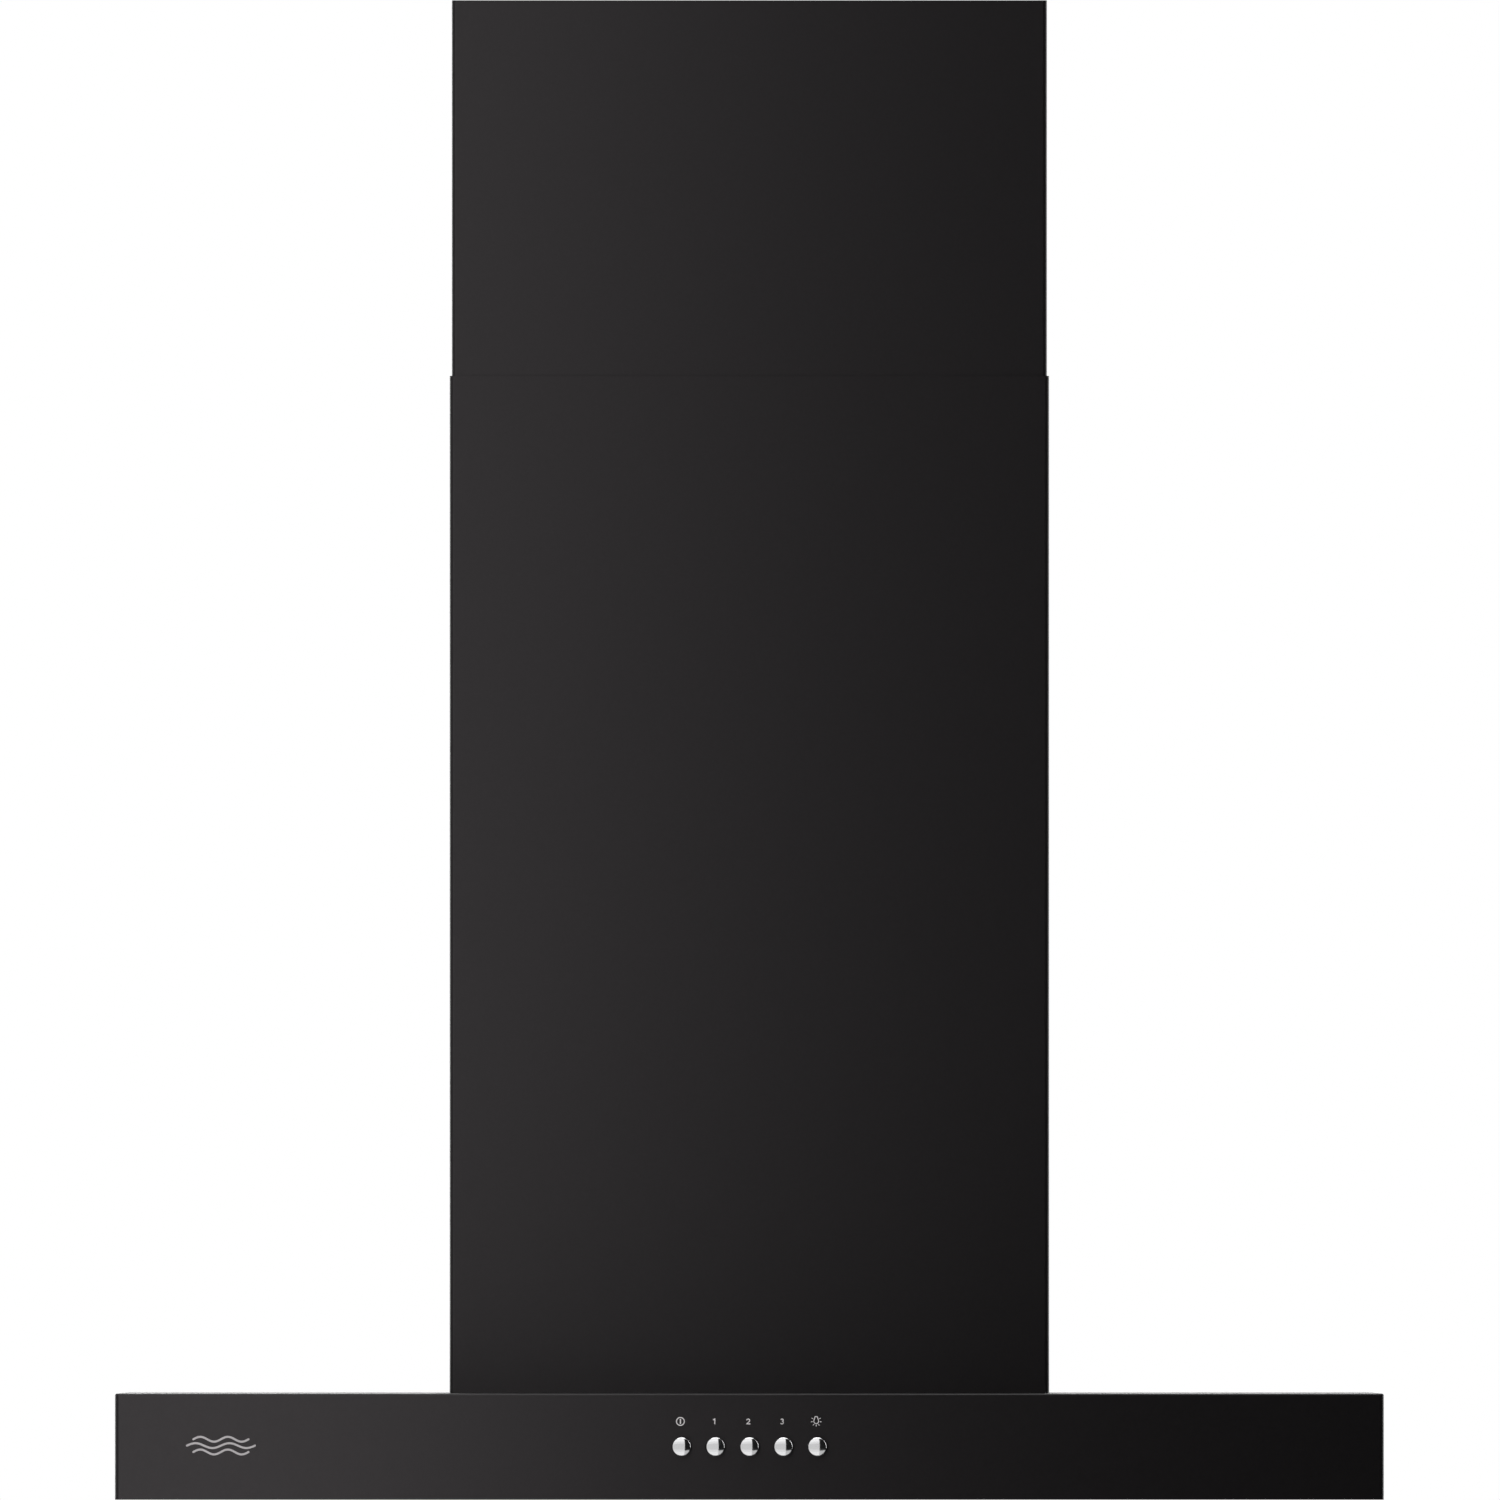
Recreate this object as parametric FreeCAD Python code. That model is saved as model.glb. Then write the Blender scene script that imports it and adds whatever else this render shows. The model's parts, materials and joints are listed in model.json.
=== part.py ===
"""Ceiling-hung island range hood: a flat box canopy under a telescoping four-sided chimney.

Millimetres, +Z up, control side facing -Y. The model is laid out with Z measured up from the
canopy's lower edge, and place() then lowers it so that the ceiling plane is Z = 0.
Every sub-part is one node, written to parts/NODE.step.
"""
import FreeCAD, Part
import math
import os

from FreeCAD import Placement, Rotation, Vector

# ---- driving dimensions -------------------------------------------------------------------
CANOPY_HALF = 299.0        # the canopy is square in plan
CANOPY_H = 50.0
CANOPY_T = 1.0
LOWER_HALF = 142.0         # lower chimney, outside
UPPER_HALF = 141.0         # upper chimney, outside, slides in the lower one
CHIMNEY_T = 0.6
LOWER_LEN = 482.0
UPPER_LEN = 440.0
UPPER_SHOWN = 178.0        # how much of the upper chimney stands out at rest
TOTAL_H = CANOPY_H + LOWER_LEN + UPPER_SHOWN
BEND_R = 2.0               # outside radius of the folded vertical corners
SEAM_GAP = 0.3

PLATE_T = 2.0              # frame steel
LEG_W = 25.0
UPPER_LEG_HALF = 137.5     # outside of the upper legs
LOWER_LEG_HALF = 134.9     # the lower legs nest inside them
UPPER_LEG_LEN = 438.0
LOWER_LEG_TOP = 528.0
BOLT_LINE = 120.0          # distance of every frame bolt from the centre plane
CLAMP_Z = TOTAL_H - PLATE_T - UPPER_LEG_LEN + 12.0
DUCT_R = 85.0
CEILING_HOLE = 100.0       # half the spacing of the four ceiling holes
CEILING_HOLE_R = 4.0

TOP_OPENING = 120.0        # half the opening in the canopy's top sheet
PAN_HALF = 283.2           # inside of the underside recess
PAN_T = 0.8
PAN_TOP = 9.0              # upper face of the pan's panel
FILTER_X = 133.0           # centre of each grease filter
FILTER_W, FILTER_D, FILTER_H = 252.0, 372.0, 9.0
FILTER_Z = 8.6
FILTER_RIM = 12.0
MESH_T = 0.8
OPENING_X = (5.0, 261.0)
OPENING_Y = 188.0
RIM_TOP = 19.0
TAB_X = 80.0               # hinge tabs, each side of the filter's centre
HINGE_Y, HINGE_Z, BEAD_R = 192.0, 10.6, 1.5
LATCH_PLUNGER_END, LATCH_BORE_END = -141.0, -131.5
LAMP_X, LAMP_Y = 225.0, 237.0

BUTTON_PITCH = 16.0
BUTTON_Z = CANOPY_H / 2
BUTTON_R = 4.4
BUTTON_TRAVEL = 3.0
BUTTONS = ("off", "speed_1", "speed_2", "speed_3", "light")

BOX_HALF, BOX_TOP, BOX_T = 124.0, 290.0, 1.0
WHEEL_Y, WHEEL_Z = -12.0, 170.0
WHEEL_R, WHEEL_HALF = 75.0, 48.0
SHAFT_R = 4.0
BLADES, BLADE_ROOT, BLADE_T = 36, 63.0, 0.9
END_RING_T = 2.5
SCROLL_HALF, SCROLL_T = 54.0, 2.0
SCROLL_STEP = 9.0          # how far the scroll's radius shrinks each quarter turn
SCROLL_R = 108.0           # its first and largest quarter
OUTLET_Y = (8.0, 100.5)    # the scroll's outlet runs up between these
INLET_R = 62.0
ADAPTER_TOP = 322.0
SPIGOT_TOP = 372.0
SPIGOT_R, SPIGOT_BORE = 74.75, 72.5
FLAP_Y, FLAP_Z, FLAP_R = 5.0, 338.0, 71.8

X_AXIS, Y_AXIS, Z_AXIS = Vector(1, 0, 0), Vector(0, 1, 0), Vector(0, 0, 1)
SIDES = (-1, 1)
OUT = "parts"


# ---- building blocks ----------------------------------------------------------------------
def box(x0, x1, y0, y1, z0, z1):
    """A box between two corners, given in either order."""
    low = Vector(min(x0, x1), min(y0, y1), min(z0, z1))
    return Part.makeBox(abs(x1 - x0), abs(y1 - y0), abs(z1 - z0), low)


def square(half, z0, z1):
    """A square slab about the centre line."""
    return box(-half, half, -half, half, z0, z1)


def rod(radius, start, axis, length):
    """A cylinder from a point along an axis."""
    return Part.makeCylinder(radius, length, Vector(*start), axis)


def ring(outer, inner, start, axis, length):
    """A tube; the inner cut runs past both ends."""
    hole = Vector(*start) - axis * 1.0
    return rod(outer, start, axis, length).cut(rod(inner, hole, axis, length + 2.0))


def fuse(shapes):
    """One clean solid from touching or overlapping shapes."""
    shapes = list(shapes)
    return shapes[0].multiFuse(shapes[1:]).removeSplitter() if shapes[1:] else shapes[0]


def cut(shape, tools):
    """The shape with every tool taken away."""
    return shape.cut(list(tools))


def round_edges(shape, radius, wanted):
    """Fillets the edges for which wanted(edge) is true."""
    return shape.makeFillet(radius, [e for e in shape.Edges if wanted(e)])


def upright(edge):
    """True for a straight edge along Z."""
    a, b = edge.Vertexes[0].Point, edge.Vertexes[-1].Point
    return abs(a.x - b.x) + abs(a.y - b.y) < 1e-6 and abs(a.z - b.z) > 1e-6


def flat_at(z):
    """A test for edges that lie wholly at one height."""
    return lambda e: all(abs(v.Point.z - z) < 1e-6 for v in e.Vertexes)


def prism(points, axis, length):
    """Extrudes the polygon through the points."""
    wire = Part.makePolygon([Vector(*p) for p in points + points[:1]])
    return Part.Face(wire).extrude(axis * length)


def hexagon(flats, start, axis, length):
    """A hexagonal bar, flats across, from a point along an axis."""
    corner = flats / math.sqrt(3.0)
    points = [(corner * math.cos(a), corner * math.sin(a), 0.0)
              for a in (math.radians(60.0 * k) for k in range(6))]
    bar = prism(points, Z_AXIS, length)
    bar.Placement = Placement(Vector(*start), Rotation(Z_AXIS, axis))
    return bar


def head_screw(start, axis, shank_r, shank_len, head_r, head_h):
    """A pan-head screw with a cross recess. start is under the head, and the shank runs along axis."""
    shank = rod(shank_r, (0, 0, 0), Z_AXIS, shank_len)
    head = rod(head_r, (0, 0, -head_h), Z_AXIS, head_h)
    head = round_edges(head, head_h * 0.45, flat_at(-head_h))
    arm, depth = head_r * 0.55, head_h * 0.5
    cross = [box(-arm, arm, -arm * 0.2, arm * 0.2, -head_h - 1, -head_h + depth),
             box(-arm * 0.2, arm * 0.2, -arm, arm, -head_h - 1, -head_h + depth)]
    screw = cut(fuse([shank, head]), cross)
    screw.Placement = Placement(Vector(*start), Rotation(Z_AXIS, axis))
    return screw


def sunk_screw(start, axis, shank_r, shank_len, head_r, head_h):
    """A countersunk screw with a cross recess. start is on the head's face, and the shank runs along axis."""
    head = Part.makeCone(head_r, shank_r + 0.1, head_h)
    shank = rod(shank_r, (0, 0, head_h - 0.01), Z_AXIS, shank_len)
    arm, depth = head_r * 0.55, head_h * 0.65
    cross = [box(-arm, arm, -arm * 0.2, arm * 0.2, -1.0, depth), box(-arm * 0.2, arm * 0.2, -arm, arm, -1.0, depth)]
    screw = cut(fuse([head, shank]), cross)
    screw.Placement = Placement(Vector(*start), Rotation(Z_AXIS, axis))
    return screw


def coil_spring(start, axis, length, mean_r, wire_r, turns):
    """A helical compression spring along an axis, of six-sided wire."""
    path = Part.makeHelix(length / turns, length, mean_r)
    rim = [Vector(mean_r + wire_r * math.cos(a), 0, wire_r * math.sin(a))
           for a in (math.radians(60.0 * k) for k in range(7))]
    section = Part.makePolygon(rim)
    spring = Part.Wire(path.Edges).makePipeShell([section], True, True)
    spring.Placement = Placement(Vector(*start), Rotation(Z_AXIS, axis))
    return spring


def four_corners(make):
    """make(sx, sy) for each corner of the plan."""
    return [make(sx, sy) for sx in SIDES for sy in SIDES]


# ---- ceiling mount: the fixed upper body ---------------------------------------------------
def chimney_screw_spots():
    """Side, y and z of each screw that fixes an upper chimney half to the ceiling plate."""
    return [(sx, sy * 60.0, TOTAL_H - 12.0) for sx in SIDES for sy in SIDES]


def ceiling_plate():
    """Square plate with a duct hole, turned-down flanges and four tabs for the chimney."""
    under = TOTAL_H - PLATE_T
    outer, inner = UPPER_LEG_HALF - PLATE_T, UPPER_LEG_HALF - 2 * PLATE_T
    skirt = square(outer, under - 22.0, under).cut(square(inner, under - 23.0, under))
    skirt = cut(skirt, four_corners(lambda sx, sy: box(sx * 127, sx * 140, sy * 127, sy * 140,
                                                        under - 23.0, under)))
    tab_x = UPPER_HALF - CHIMNEY_T
    tabs = []
    for sx, sy in ((a, b) for a in SIDES for b in SIDES):
        tabs.append(box(sx * (tab_x - PLATE_T), sx * tab_x, sy * 45, sy * 75, under - 20.0, TOTAL_H))
        tabs.append(box(sx * outer, sx * tab_x, sy * 45, sy * 75, under, TOTAL_H))
    plate = fuse([square(UPPER_LEG_HALF, under, TOTAL_H), skirt] + tabs)
    holes = [rod(DUCT_R, (0, 0, under - 1), Z_AXIS, 5.0),
             rod(10.0, (0, 108, under - 1), Z_AXIS, 5.0)]
    holes += four_corners(lambda sx, sy: rod(CEILING_HOLE_R, (sx * CEILING_HOLE, sy * CEILING_HOLE, under - 1),
                                             Z_AXIS, 5.0))
    holes += [rod(2.7, (-140, sy * BOLT_LINE, under - 11.0), X_AXIS, 280.0) for sy in SIDES]
    for sx, y, z in chimney_screw_spots():
        inward = -sx * X_AXIS
        holes.append(Part.makeCone(4.6, 2.9, 1.15, Vector(sx * (tab_x + 0.05), y, z), inward))
        holes.append(rod(1.7, (sx * UPPER_HALF, y, z), inward, 5.0))
    return cut(plate, holes)


def angle_leg(sx, sy, half, z0, z1):
    """One L-section leg at a corner, its outside corner at half."""
    outer = box(sx * (half - LEG_W), sx * half, sy * (half - LEG_W), sy * half, z0, z1)
    inside = half - PLATE_T
    inner = box(sx * (half - LEG_W - 1), sx * inside, sy * (half - LEG_W - 1), sy * inside, z0 - 1, z1 + 1)
    return outer.cut(inner)


def slot_in_leg(sx, sy, half, width, z0, z1):
    """A vertical slot through a leg's side flange, round at both ends."""
    x0 = sx * (half + 2.0)
    depth = -sx * X_AXIS
    r = width / 2
    body = box(x0, x0 - sx * 8, sy * BOLT_LINE - r, sy * BOLT_LINE + r, z0 + r, z1 - r)
    ends = [rod(r, (x0, sy * BOLT_LINE, z), depth, 8.0) for z in (z0 + r, z1 - r)]
    return fuse([body] + ends)


def upper_leg(sx, sy):
    z1 = TOTAL_H - PLATE_T
    leg = angle_leg(sx, sy, UPPER_LEG_HALF, z1 - UPPER_LEG_LEN, z1)
    spots = [CLAMP_Z, z1 - 11.0]
    return cut(leg, [rod(2.7, (sx * 140, sy * BOLT_LINE, z), -sx * X_AXIS, 8.0) for z in spots])


def lower_leg(sx, sy):
    z0 = CANOPY_H + PLATE_T
    leg = angle_leg(sx, sy, LOWER_LEG_HALF, z0, LOWER_LEG_TOP)
    tools = [rod(2.7, (sx * 137, sy * BOLT_LINE, z0 + 16.0), -sx * X_AXIS, 8.0),
             slot_in_leg(sx, sy, LOWER_LEG_HALF, 6.4, 120.0, LOWER_LEG_TOP - 22.0)]
    return cut(leg, tools)


def frame_bolt(sx, sy, outside, z, nut_face):
    """A low-head bolt through a leg with its nut inside."""
    bolt = head_screw((sx * outside, sy * BOLT_LINE, z), -sx * X_AXIS, 2.5, 10.0, 4.5, 2.2)
    nut = hexagon(8.0, (sx * nut_face, sy * BOLT_LINE, z), -sx * X_AXIS, 4.0)
    return fuse([bolt, nut])


def upper_frame_bolts():
    """Four bolts at the ceiling plate, and four that clamp the legs through the long slots."""
    top = TOTAL_H - PLATE_T - 11.0
    return (four_corners(lambda sx, sy: frame_bolt(sx, sy, UPPER_LEG_HALF, top, UPPER_LEG_HALF - 2 * PLATE_T))
            + four_corners(lambda sx, sy: frame_bolt(sx, sy, UPPER_LEG_HALF, CLAMP_Z,
                                                     LOWER_LEG_HALF - PLATE_T - 0.1)))


def chimney_half(half, z0, z1, side):
    """The front (side -1) or rear half of a folded square tube, parted at the middle of each side."""
    outer = round_edges(square(half, z0, z1), BEND_R, upright)
    inner = round_edges(square(half - CHIMNEY_T, z0 - 1, z1 + 1), BEND_R - CHIMNEY_T, upright)
    keep = box(-half - 1, half + 1, side * SEAM_GAP / 2, side * (half + 1), z0, z1)
    return outer.cut(inner).common(keep)


def seam_tongues(inner, z0, z1):
    """Joggled tongues on the rear half that lie behind the front half at both seams."""
    tongues = []
    for sx in SIDES:
        tongues.append(box(sx * (inner - 0.7), sx * (inner - 0.1), -14.0, 2.0, z0, z1))
        tongues.append(box(sx * (inner - 0.7), sx * inner, SEAM_GAP / 2, 2.0, z0, z1))
    return tongues


def vent_slots(side):
    """Recirculation vents: seven round-ended slots in each side, between the seam and the corner."""
    slots, r, y0, y1 = [], 2.0, 36.0, 104.0
    for row in range(7):
        z = TOTAL_H - 58.0 - 12.0 * row
        slots.append(box(-150, 150, side * y0, side * y1, z - r, z + r))
        slots += [rod(r, (-150, side * y, z), X_AXIS, 300.0) for y in (y0, y1)]
    return slots


def upper_chimney(side):
    z1 = TOTAL_H
    z0 = z1 - UPPER_LEN
    shell = chimney_half(UPPER_HALF, z0, z1, side)
    if side > 0:
        shell = fuse([shell] + seam_tongues(UPPER_HALF - CHIMNEY_T, z0, z1))
    bosses, tools = [], vent_slots(side)
    for sx, y, z in chimney_screw_spots():
        inward = -sx * X_AXIS
        if y * side > 0:
            bosses.append(Part.makeCone(4.2, 2.6, 1.2, Vector(sx * (UPPER_HALF - 0.3), y, z), inward))
            tools.append(Part.makeCone(3.68, 1.9, 1.15, Vector(sx * (UPPER_HALF + 0.05), y, z), inward))
            tools.append(rod(1.8, (sx * UPPER_HALF, y, z), inward, 5.0))
    return cut(fuse([shell] + bosses), tools)


def chimney_screws():
    """Countersunk screws that sit flush in the dimples of the upper chimney."""
    return [sunk_screw((sx * (UPPER_HALF - 0.05), y, z), -sx * X_AXIS, 1.6, 4.0, 3.4, 1.05)
            for sx, y, z in chimney_screw_spots()]


# ---- hood body: chimney, frame and canopy --------------------------------------------------
def lower_chimney(side):
    """Half of the lower chimney, with two foot tabs that are screwed to the canopy from below.

    The rear half's seam tongues stop short of the upper chimney's reach.
    """
    z0 = CANOPY_H
    shell = chimney_half(LOWER_HALF, z0, z0 + LOWER_LEN, side)
    inner = LOWER_HALF - CHIMNEY_T / 2
    tabs = [box(sx * 28, sx * 52, side * 128.5, side * inner, z0, z0 + CHIMNEY_T) for sx in SIDES]
    if side > 0:
        tabs += seam_tongues(LOWER_HALF - CHIMNEY_T, z0, z0 + 60.0)
    holes = [rod(1.6, (sx * 40, side * 136.5, z0 - 1), Z_AXIS, 3.0) for sx in SIDES]
    return cut(fuse([shell] + tabs), holes)


def chimney_foot_screws():
    """Screws up through the canopy's top sheet into the chimney's foot tabs."""
    return four_corners(lambda sx, sy: head_screw((sx * 40, sy * 136.5, CANOPY_H - CANOPY_T), Z_AXIS,
                                                  1.5, 6.0, 3.2, 1.8))


def frame_brace():
    """Angle-section ring that ties the tops of the lower legs."""
    half = LOWER_LEG_HALF - PLATE_T
    z1 = LOWER_LEG_TOP
    wall = square(half, z1 - 20, z1).cut(square(half - PLATE_T, z1 - 21, z1 + 1))
    lip = square(half, z1 - PLATE_T, z1).cut(square(half - 15.0, z1 - PLATE_T - 1, z1 + 1))
    return fuse([wall, lip])


def mounting_plate():
    """Stiffening plate on the canopy's top sheet, with an ear beside each lower leg."""
    z0 = CANOPY_H
    plate = square(139.5, z0, z0 + PLATE_T).cut(square(TOP_OPENING, z0 - 1, z0 + 4))
    face = LOWER_LEG_HALF - PLATE_T
    ears = four_corners(lambda sx, sy: box(sx * (face - PLATE_T), sx * face, sy * 111, sy * 129,
                                           z0, z0 + PLATE_T + 28.0))
    tools = [rod(2.7, (-140, sy * BOLT_LINE, z0 + PLATE_T + 16.0), X_AXIS, 280.0) for sy in SIDES]
    tools += [rod(2.2, (x, y, z0 - 1), Z_AXIS, 4.0) for x, y in plate_screw_spots()]
    tools += four_corners(lambda sx, sy: box(sx * 26, sx * 54, sy * 127.5, sy * 145, z0 - 1, z0 + 4))
    return cut(fuse([plate] + ears), tools)


def plate_screw_spots():
    """Eight points round the canopy's top opening."""
    return [(s * a, t * b) for a, b in ((130, 75), (75, 130)) for s in SIDES for t in SIDES]


def plate_screws():
    """Screws from above through the mounting plate and the canopy's top sheet."""
    return [head_screw((x, y, CANOPY_H + PLATE_T), -Z_AXIS, 2.0, 9.0, 3.8, 2.2) for x, y in plate_screw_spots()]


def foot_bolts():
    """Bolts that hold the lower legs to the mounting plate's ears."""
    z = CANOPY_H + PLATE_T + 16.0
    return four_corners(lambda sx, sy: frame_bolt(sx, sy, LOWER_LEG_HALF, z, LOWER_LEG_HALF - 2 * PLATE_T))


def pan_screw_spots():
    """Three countersunk screws along each edge of the underside lip."""
    run = (-200.0, 0.0, 200.0)
    return [(a, s * 290.0) for a in run for s in SIDES] + [(s * 290.0, a) for a in run for s in SIDES]


def countersink(x, y, grow):
    """The head and shank of one pan screw, or with grow the hole for it."""
    head = Part.makeCone(3.6 + grow, 2.0 + grow, 1.6, Vector(x, y, 0))
    return fuse([head, rod(2.0 + grow, (x, y, 1.6 - 0.01), Z_AXIS, 5.0)])


def pan_screws():
    screws = []
    for x, y in pan_screw_spots():
        cross = [box(x - 2, x + 2, y - 0.4, y + 0.4, -1, 0.9), box(x - 0.4, x + 0.4, y - 2, y + 2, -1, 0.9)]
        screws.append(cut(countersink(x, y, 0.0), cross))
    return screws


def button_xs():
    """X of each push button, left to right."""
    first = -BUTTON_PITCH * (len(BUTTONS) - 1) / 2
    return [first + BUTTON_PITCH * k for k in range(len(BUTTONS))]


def canopy_shell():
    """The painted outer skin: four walls, a top with a square opening, and a turned-in lower lip."""
    skin = round_edges(square(CANOPY_HALF, 0, CANOPY_H), BEND_R, upright)
    skin = round_edges(skin, 1.0, flat_at(CANOPY_H))
    inner = CANOPY_HALF - CANOPY_T
    tools = [square(inner, CANOPY_T, CANOPY_H - CANOPY_T), square(285.0, -1, 2),
             square(TOP_OPENING, CANOPY_H - 2, CANOPY_H + 1)]
    tools += [rod(4.85, (x, -CANOPY_HALF - 1, BUTTON_Z), Y_AXIS, 3.0) for x in button_xs()]
    tools += [rod(2.2, (x, y, CANOPY_H - 2), Z_AXIS, 4.0) for x, y in plate_screw_spots()]
    tools += four_corners(lambda sx, sy: rod(1.7, (sx * 40, sy * 136.5, CANOPY_H - 2), Z_AXIS, 4.0))
    tools += [countersink(x, y, 0.05) for x, y in pan_screw_spots()]
    return cut(skin, tools)


def bottom_pan():
    """The recessed underside panel: two filter openings with upturned rims, and four lamp holes."""
    low = CANOPY_T
    flange = square(295.0, low, low + PAN_T)
    step = square(PAN_HALF + PAN_T, low, PAN_TOP)
    hollow = square(PAN_HALF, low - 1, PAN_TOP - PAN_T)
    pan = fuse([flange, step]).cut(hollow)
    x0, x1 = OPENING_X
    rims, holes = [], []
    for s in SIDES:
        rims.append(box(s * (x0 - PAN_T), s * (x1 + PAN_T), -OPENING_Y - PAN_T, OPENING_Y + PAN_T,
                        PAN_TOP - PAN_T, RIM_TOP))
        holes.append(box(s * x0, s * x1, -OPENING_Y, OPENING_Y, low - 1, RIM_TOP - PAN_T))
        holes.append(box(s * (x0 + 5), s * (x1 - 5), -OPENING_Y + 5, OPENING_Y - 5, low, RIM_TOP + 1))
        centre = s * FILTER_X
        holes.append(box(centre - 11, centre + 11, -OPENING_Y - 2, -OPENING_Y + 6, PAN_TOP, RIM_TOP + 1))
        for tab in (centre - TAB_X, centre + TAB_X):
            holes.append(box(tab - 18, tab + 18, OPENING_Y - 6, OPENING_Y + 9, PAN_TOP, RIM_TOP + 1))
            holes.append(box(tab - 10.2, tab + 10.2, OPENING_Y - 1, OPENING_Y + 7.5, low - 1, PAN_TOP + 1))
    holes += four_corners(lambda sx, sy: rod(28.0, (sx * LAMP_X, sy * LAMP_Y, 5), Z_AXIS, 8.0))
    holes += [countersink(x, y, 0.05) for x, y in pan_screw_spots()]
    return cut(fuse([pan] + rims), holes)


# ---- lamps ----------------------------------------------------------------------------------
def lamp_bezel(x, y):
    """A flanged ring that pushes up through the pan."""
    flange = ring(32.0, 25.0, (x, y, PAN_TOP - PAN_T - 1.6), Z_AXIS, 1.6)
    flange = round_edges(flange, 0.7, lambda e: flat_at(PAN_TOP - PAN_T - 1.6)(e) and e.Length > 190)
    sleeve = ring(27.8, 26.0, (x, y, PAN_TOP - PAN_T), Z_AXIS, 11.0)
    return fuse([flange, sleeve])


def lamp_lens(x, y):
    """A stepped disc held between the bezel and the lamp."""
    face = rod(24.8, (x, y, 7.0), Z_AXIS, 1.2)
    return fuse([face, rod(25.8, (x, y, 8.2), Z_AXIS, 1.2)])


def lamp_module(x, y):
    """LED board with a ring of cooling fins above."""
    board = rod(25.7, (x, y, 11.5), Z_AXIS, 3.0)
    core = rod(9.0, (x, y, 14.5), Z_AXIS, 12.0)
    fins = []
    for k in range(12):
        fin = box(x + 6, x + 25.0, y - 0.8, y + 0.8, 14.0, 26.5)
        fin.rotate(Vector(x, y, 0), Z_AXIS, 30.0 * k)
        fins.append(fin)
    return fuse([board, core] + fins)


# ---- controls -------------------------------------------------------------------------------
def button_guide():
    """Plastic strip behind the front wall, with a guide bore behind each hole."""
    inner = -CANOPY_HALF + CANOPY_T
    strip = box(-44, 44, inner, inner + 3.0, BUTTON_Z - 9, BUTTON_Z + 9)
    return cut(strip, [rod(4.6, (x, inner - 1.0, BUTTON_Z), Y_AXIS, 5.0) for x in button_xs()])


def button(x):
    """A domed metal cap on a plain stem with a stop collar."""
    back, crown, dome_r = -298.4, -302.4, 10.0
    cap = rod(BUTTON_R, (x, crown, BUTTON_Z), Y_AXIS, back - crown)
    cap = cap.common(Part.makeSphere(dome_r, Vector(x, crown + dome_r, BUTTON_Z)))
    edge_y = crown + dome_r - math.sqrt(dome_r ** 2 - BUTTON_R ** 2)
    cap = round_edges(cap, 0.5, lambda e: all(abs(v.Point.y - edge_y) < 1e-3 for v in e.Vertexes)
                      and e.Length > 20)
    stem = rod(2.2, (x, back, BUTTON_Z), Y_AXIS, 22.0)
    collar = rod(3.7, (x, -292.0, BUTTON_Z), Y_AXIS, 1.4)
    return fuse([cap, stem, collar])


def switch_housing():
    """Key-switch body: a box open at the back, with a hole for each stem."""
    body = box(-46, 46, -295, -264, BUTTON_Z - 11, BUTTON_Z + 11)
    hollow = box(-44.5, 44.5, -293.5, -263, BUTTON_Z - 9.5, BUTTON_Z + 9.5)
    return cut(body, [hollow] + [rod(2.6, (x, -296, BUTTON_Z), Y_AXIS, 4.0) for x in button_xs()])


def switch_cover():
    """Back of the key switch, with a plug socket."""
    plate = box(-46, 46, -264, -262, BUTTON_Z - 11, BUTTON_Z + 11)
    socket = box(-14, 14, -262, -254, BUTTON_Z - 4, BUTTON_Z + 6)
    return cut(fuse([plate, socket]), [box(-12, 12, -260, -253, BUTTON_Z - 2, BUTTON_Z + 4)])


def button_springs():
    """Return springs between the stems' collars and the switch cover."""
    return [coil_spring((x, -290.0, BUTTON_Z), Y_AXIS, 25.4, 3.0, 0.3, 7) for x in button_xs()]


# ---- grease filters -------------------------------------------------------------------------
def filter_frame(s):
    """Aluminium channel frame, grooved for the mesh, with a rolled hinge tab near each rear corner."""
    centre = s * FILTER_X
    z0, z1 = FILTER_Z, FILTER_Z + FILTER_H
    half_w, half_d = FILTER_W / 2, FILTER_D / 2
    outer = round_edges(box(centre - half_w, centre + half_w, -half_d, half_d, z0, z1), 5.0, upright)
    outer = round_edges(outer, 0.8, flat_at(z0))
    in_w, in_d = half_w - FILTER_RIM, half_d - FILTER_RIM
    tools = [box(centre - in_w, centre + in_w, -in_d, in_d, z0 - 1, z1 + 1),
             box(centre - in_w - 6, centre + in_w + 6, -in_d - 6, in_d + 6, z0 + 1.5, z1 - 1.5),
             box(centre - 8.3, centre + 8.3, -half_d - 1, -in_d + 1, 9.2, 12.2)]
    frame = cut(outer, tools)
    tabs = []
    for x in (centre - TAB_X, centre + TAB_X):
        tabs.append(box(x - 9, x + 9, half_d - 1.0, HINGE_Y, HINGE_Z - 0.7, HINGE_Z + 0.7))
        tabs.append(rod(BEAD_R, (x - 15, HINGE_Y, HINGE_Z), X_AXIS, 30.0))
    return fuse([frame] + tabs)


def filter_mesh(s):
    """The lower and upper mesh sheets as plain plates in the frame's groove, notched round the latch."""
    centre = s * FILTER_X
    half_w = FILTER_W / 2 - FILTER_RIM + 5.0
    half_d = FILTER_D / 2 - FILTER_RIM + 5.0
    notch = box(centre - 30.2, centre + 30.2, -200, -127.8, 0, 40)
    low, high = FILTER_Z + 1.5, FILTER_Z + FILTER_H - 1.5
    return [box(centre - half_w, centre + half_w, -half_d, half_d, z, z + MESH_T).cut(notch)
            for z in (low, high - MESH_T)]


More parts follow.
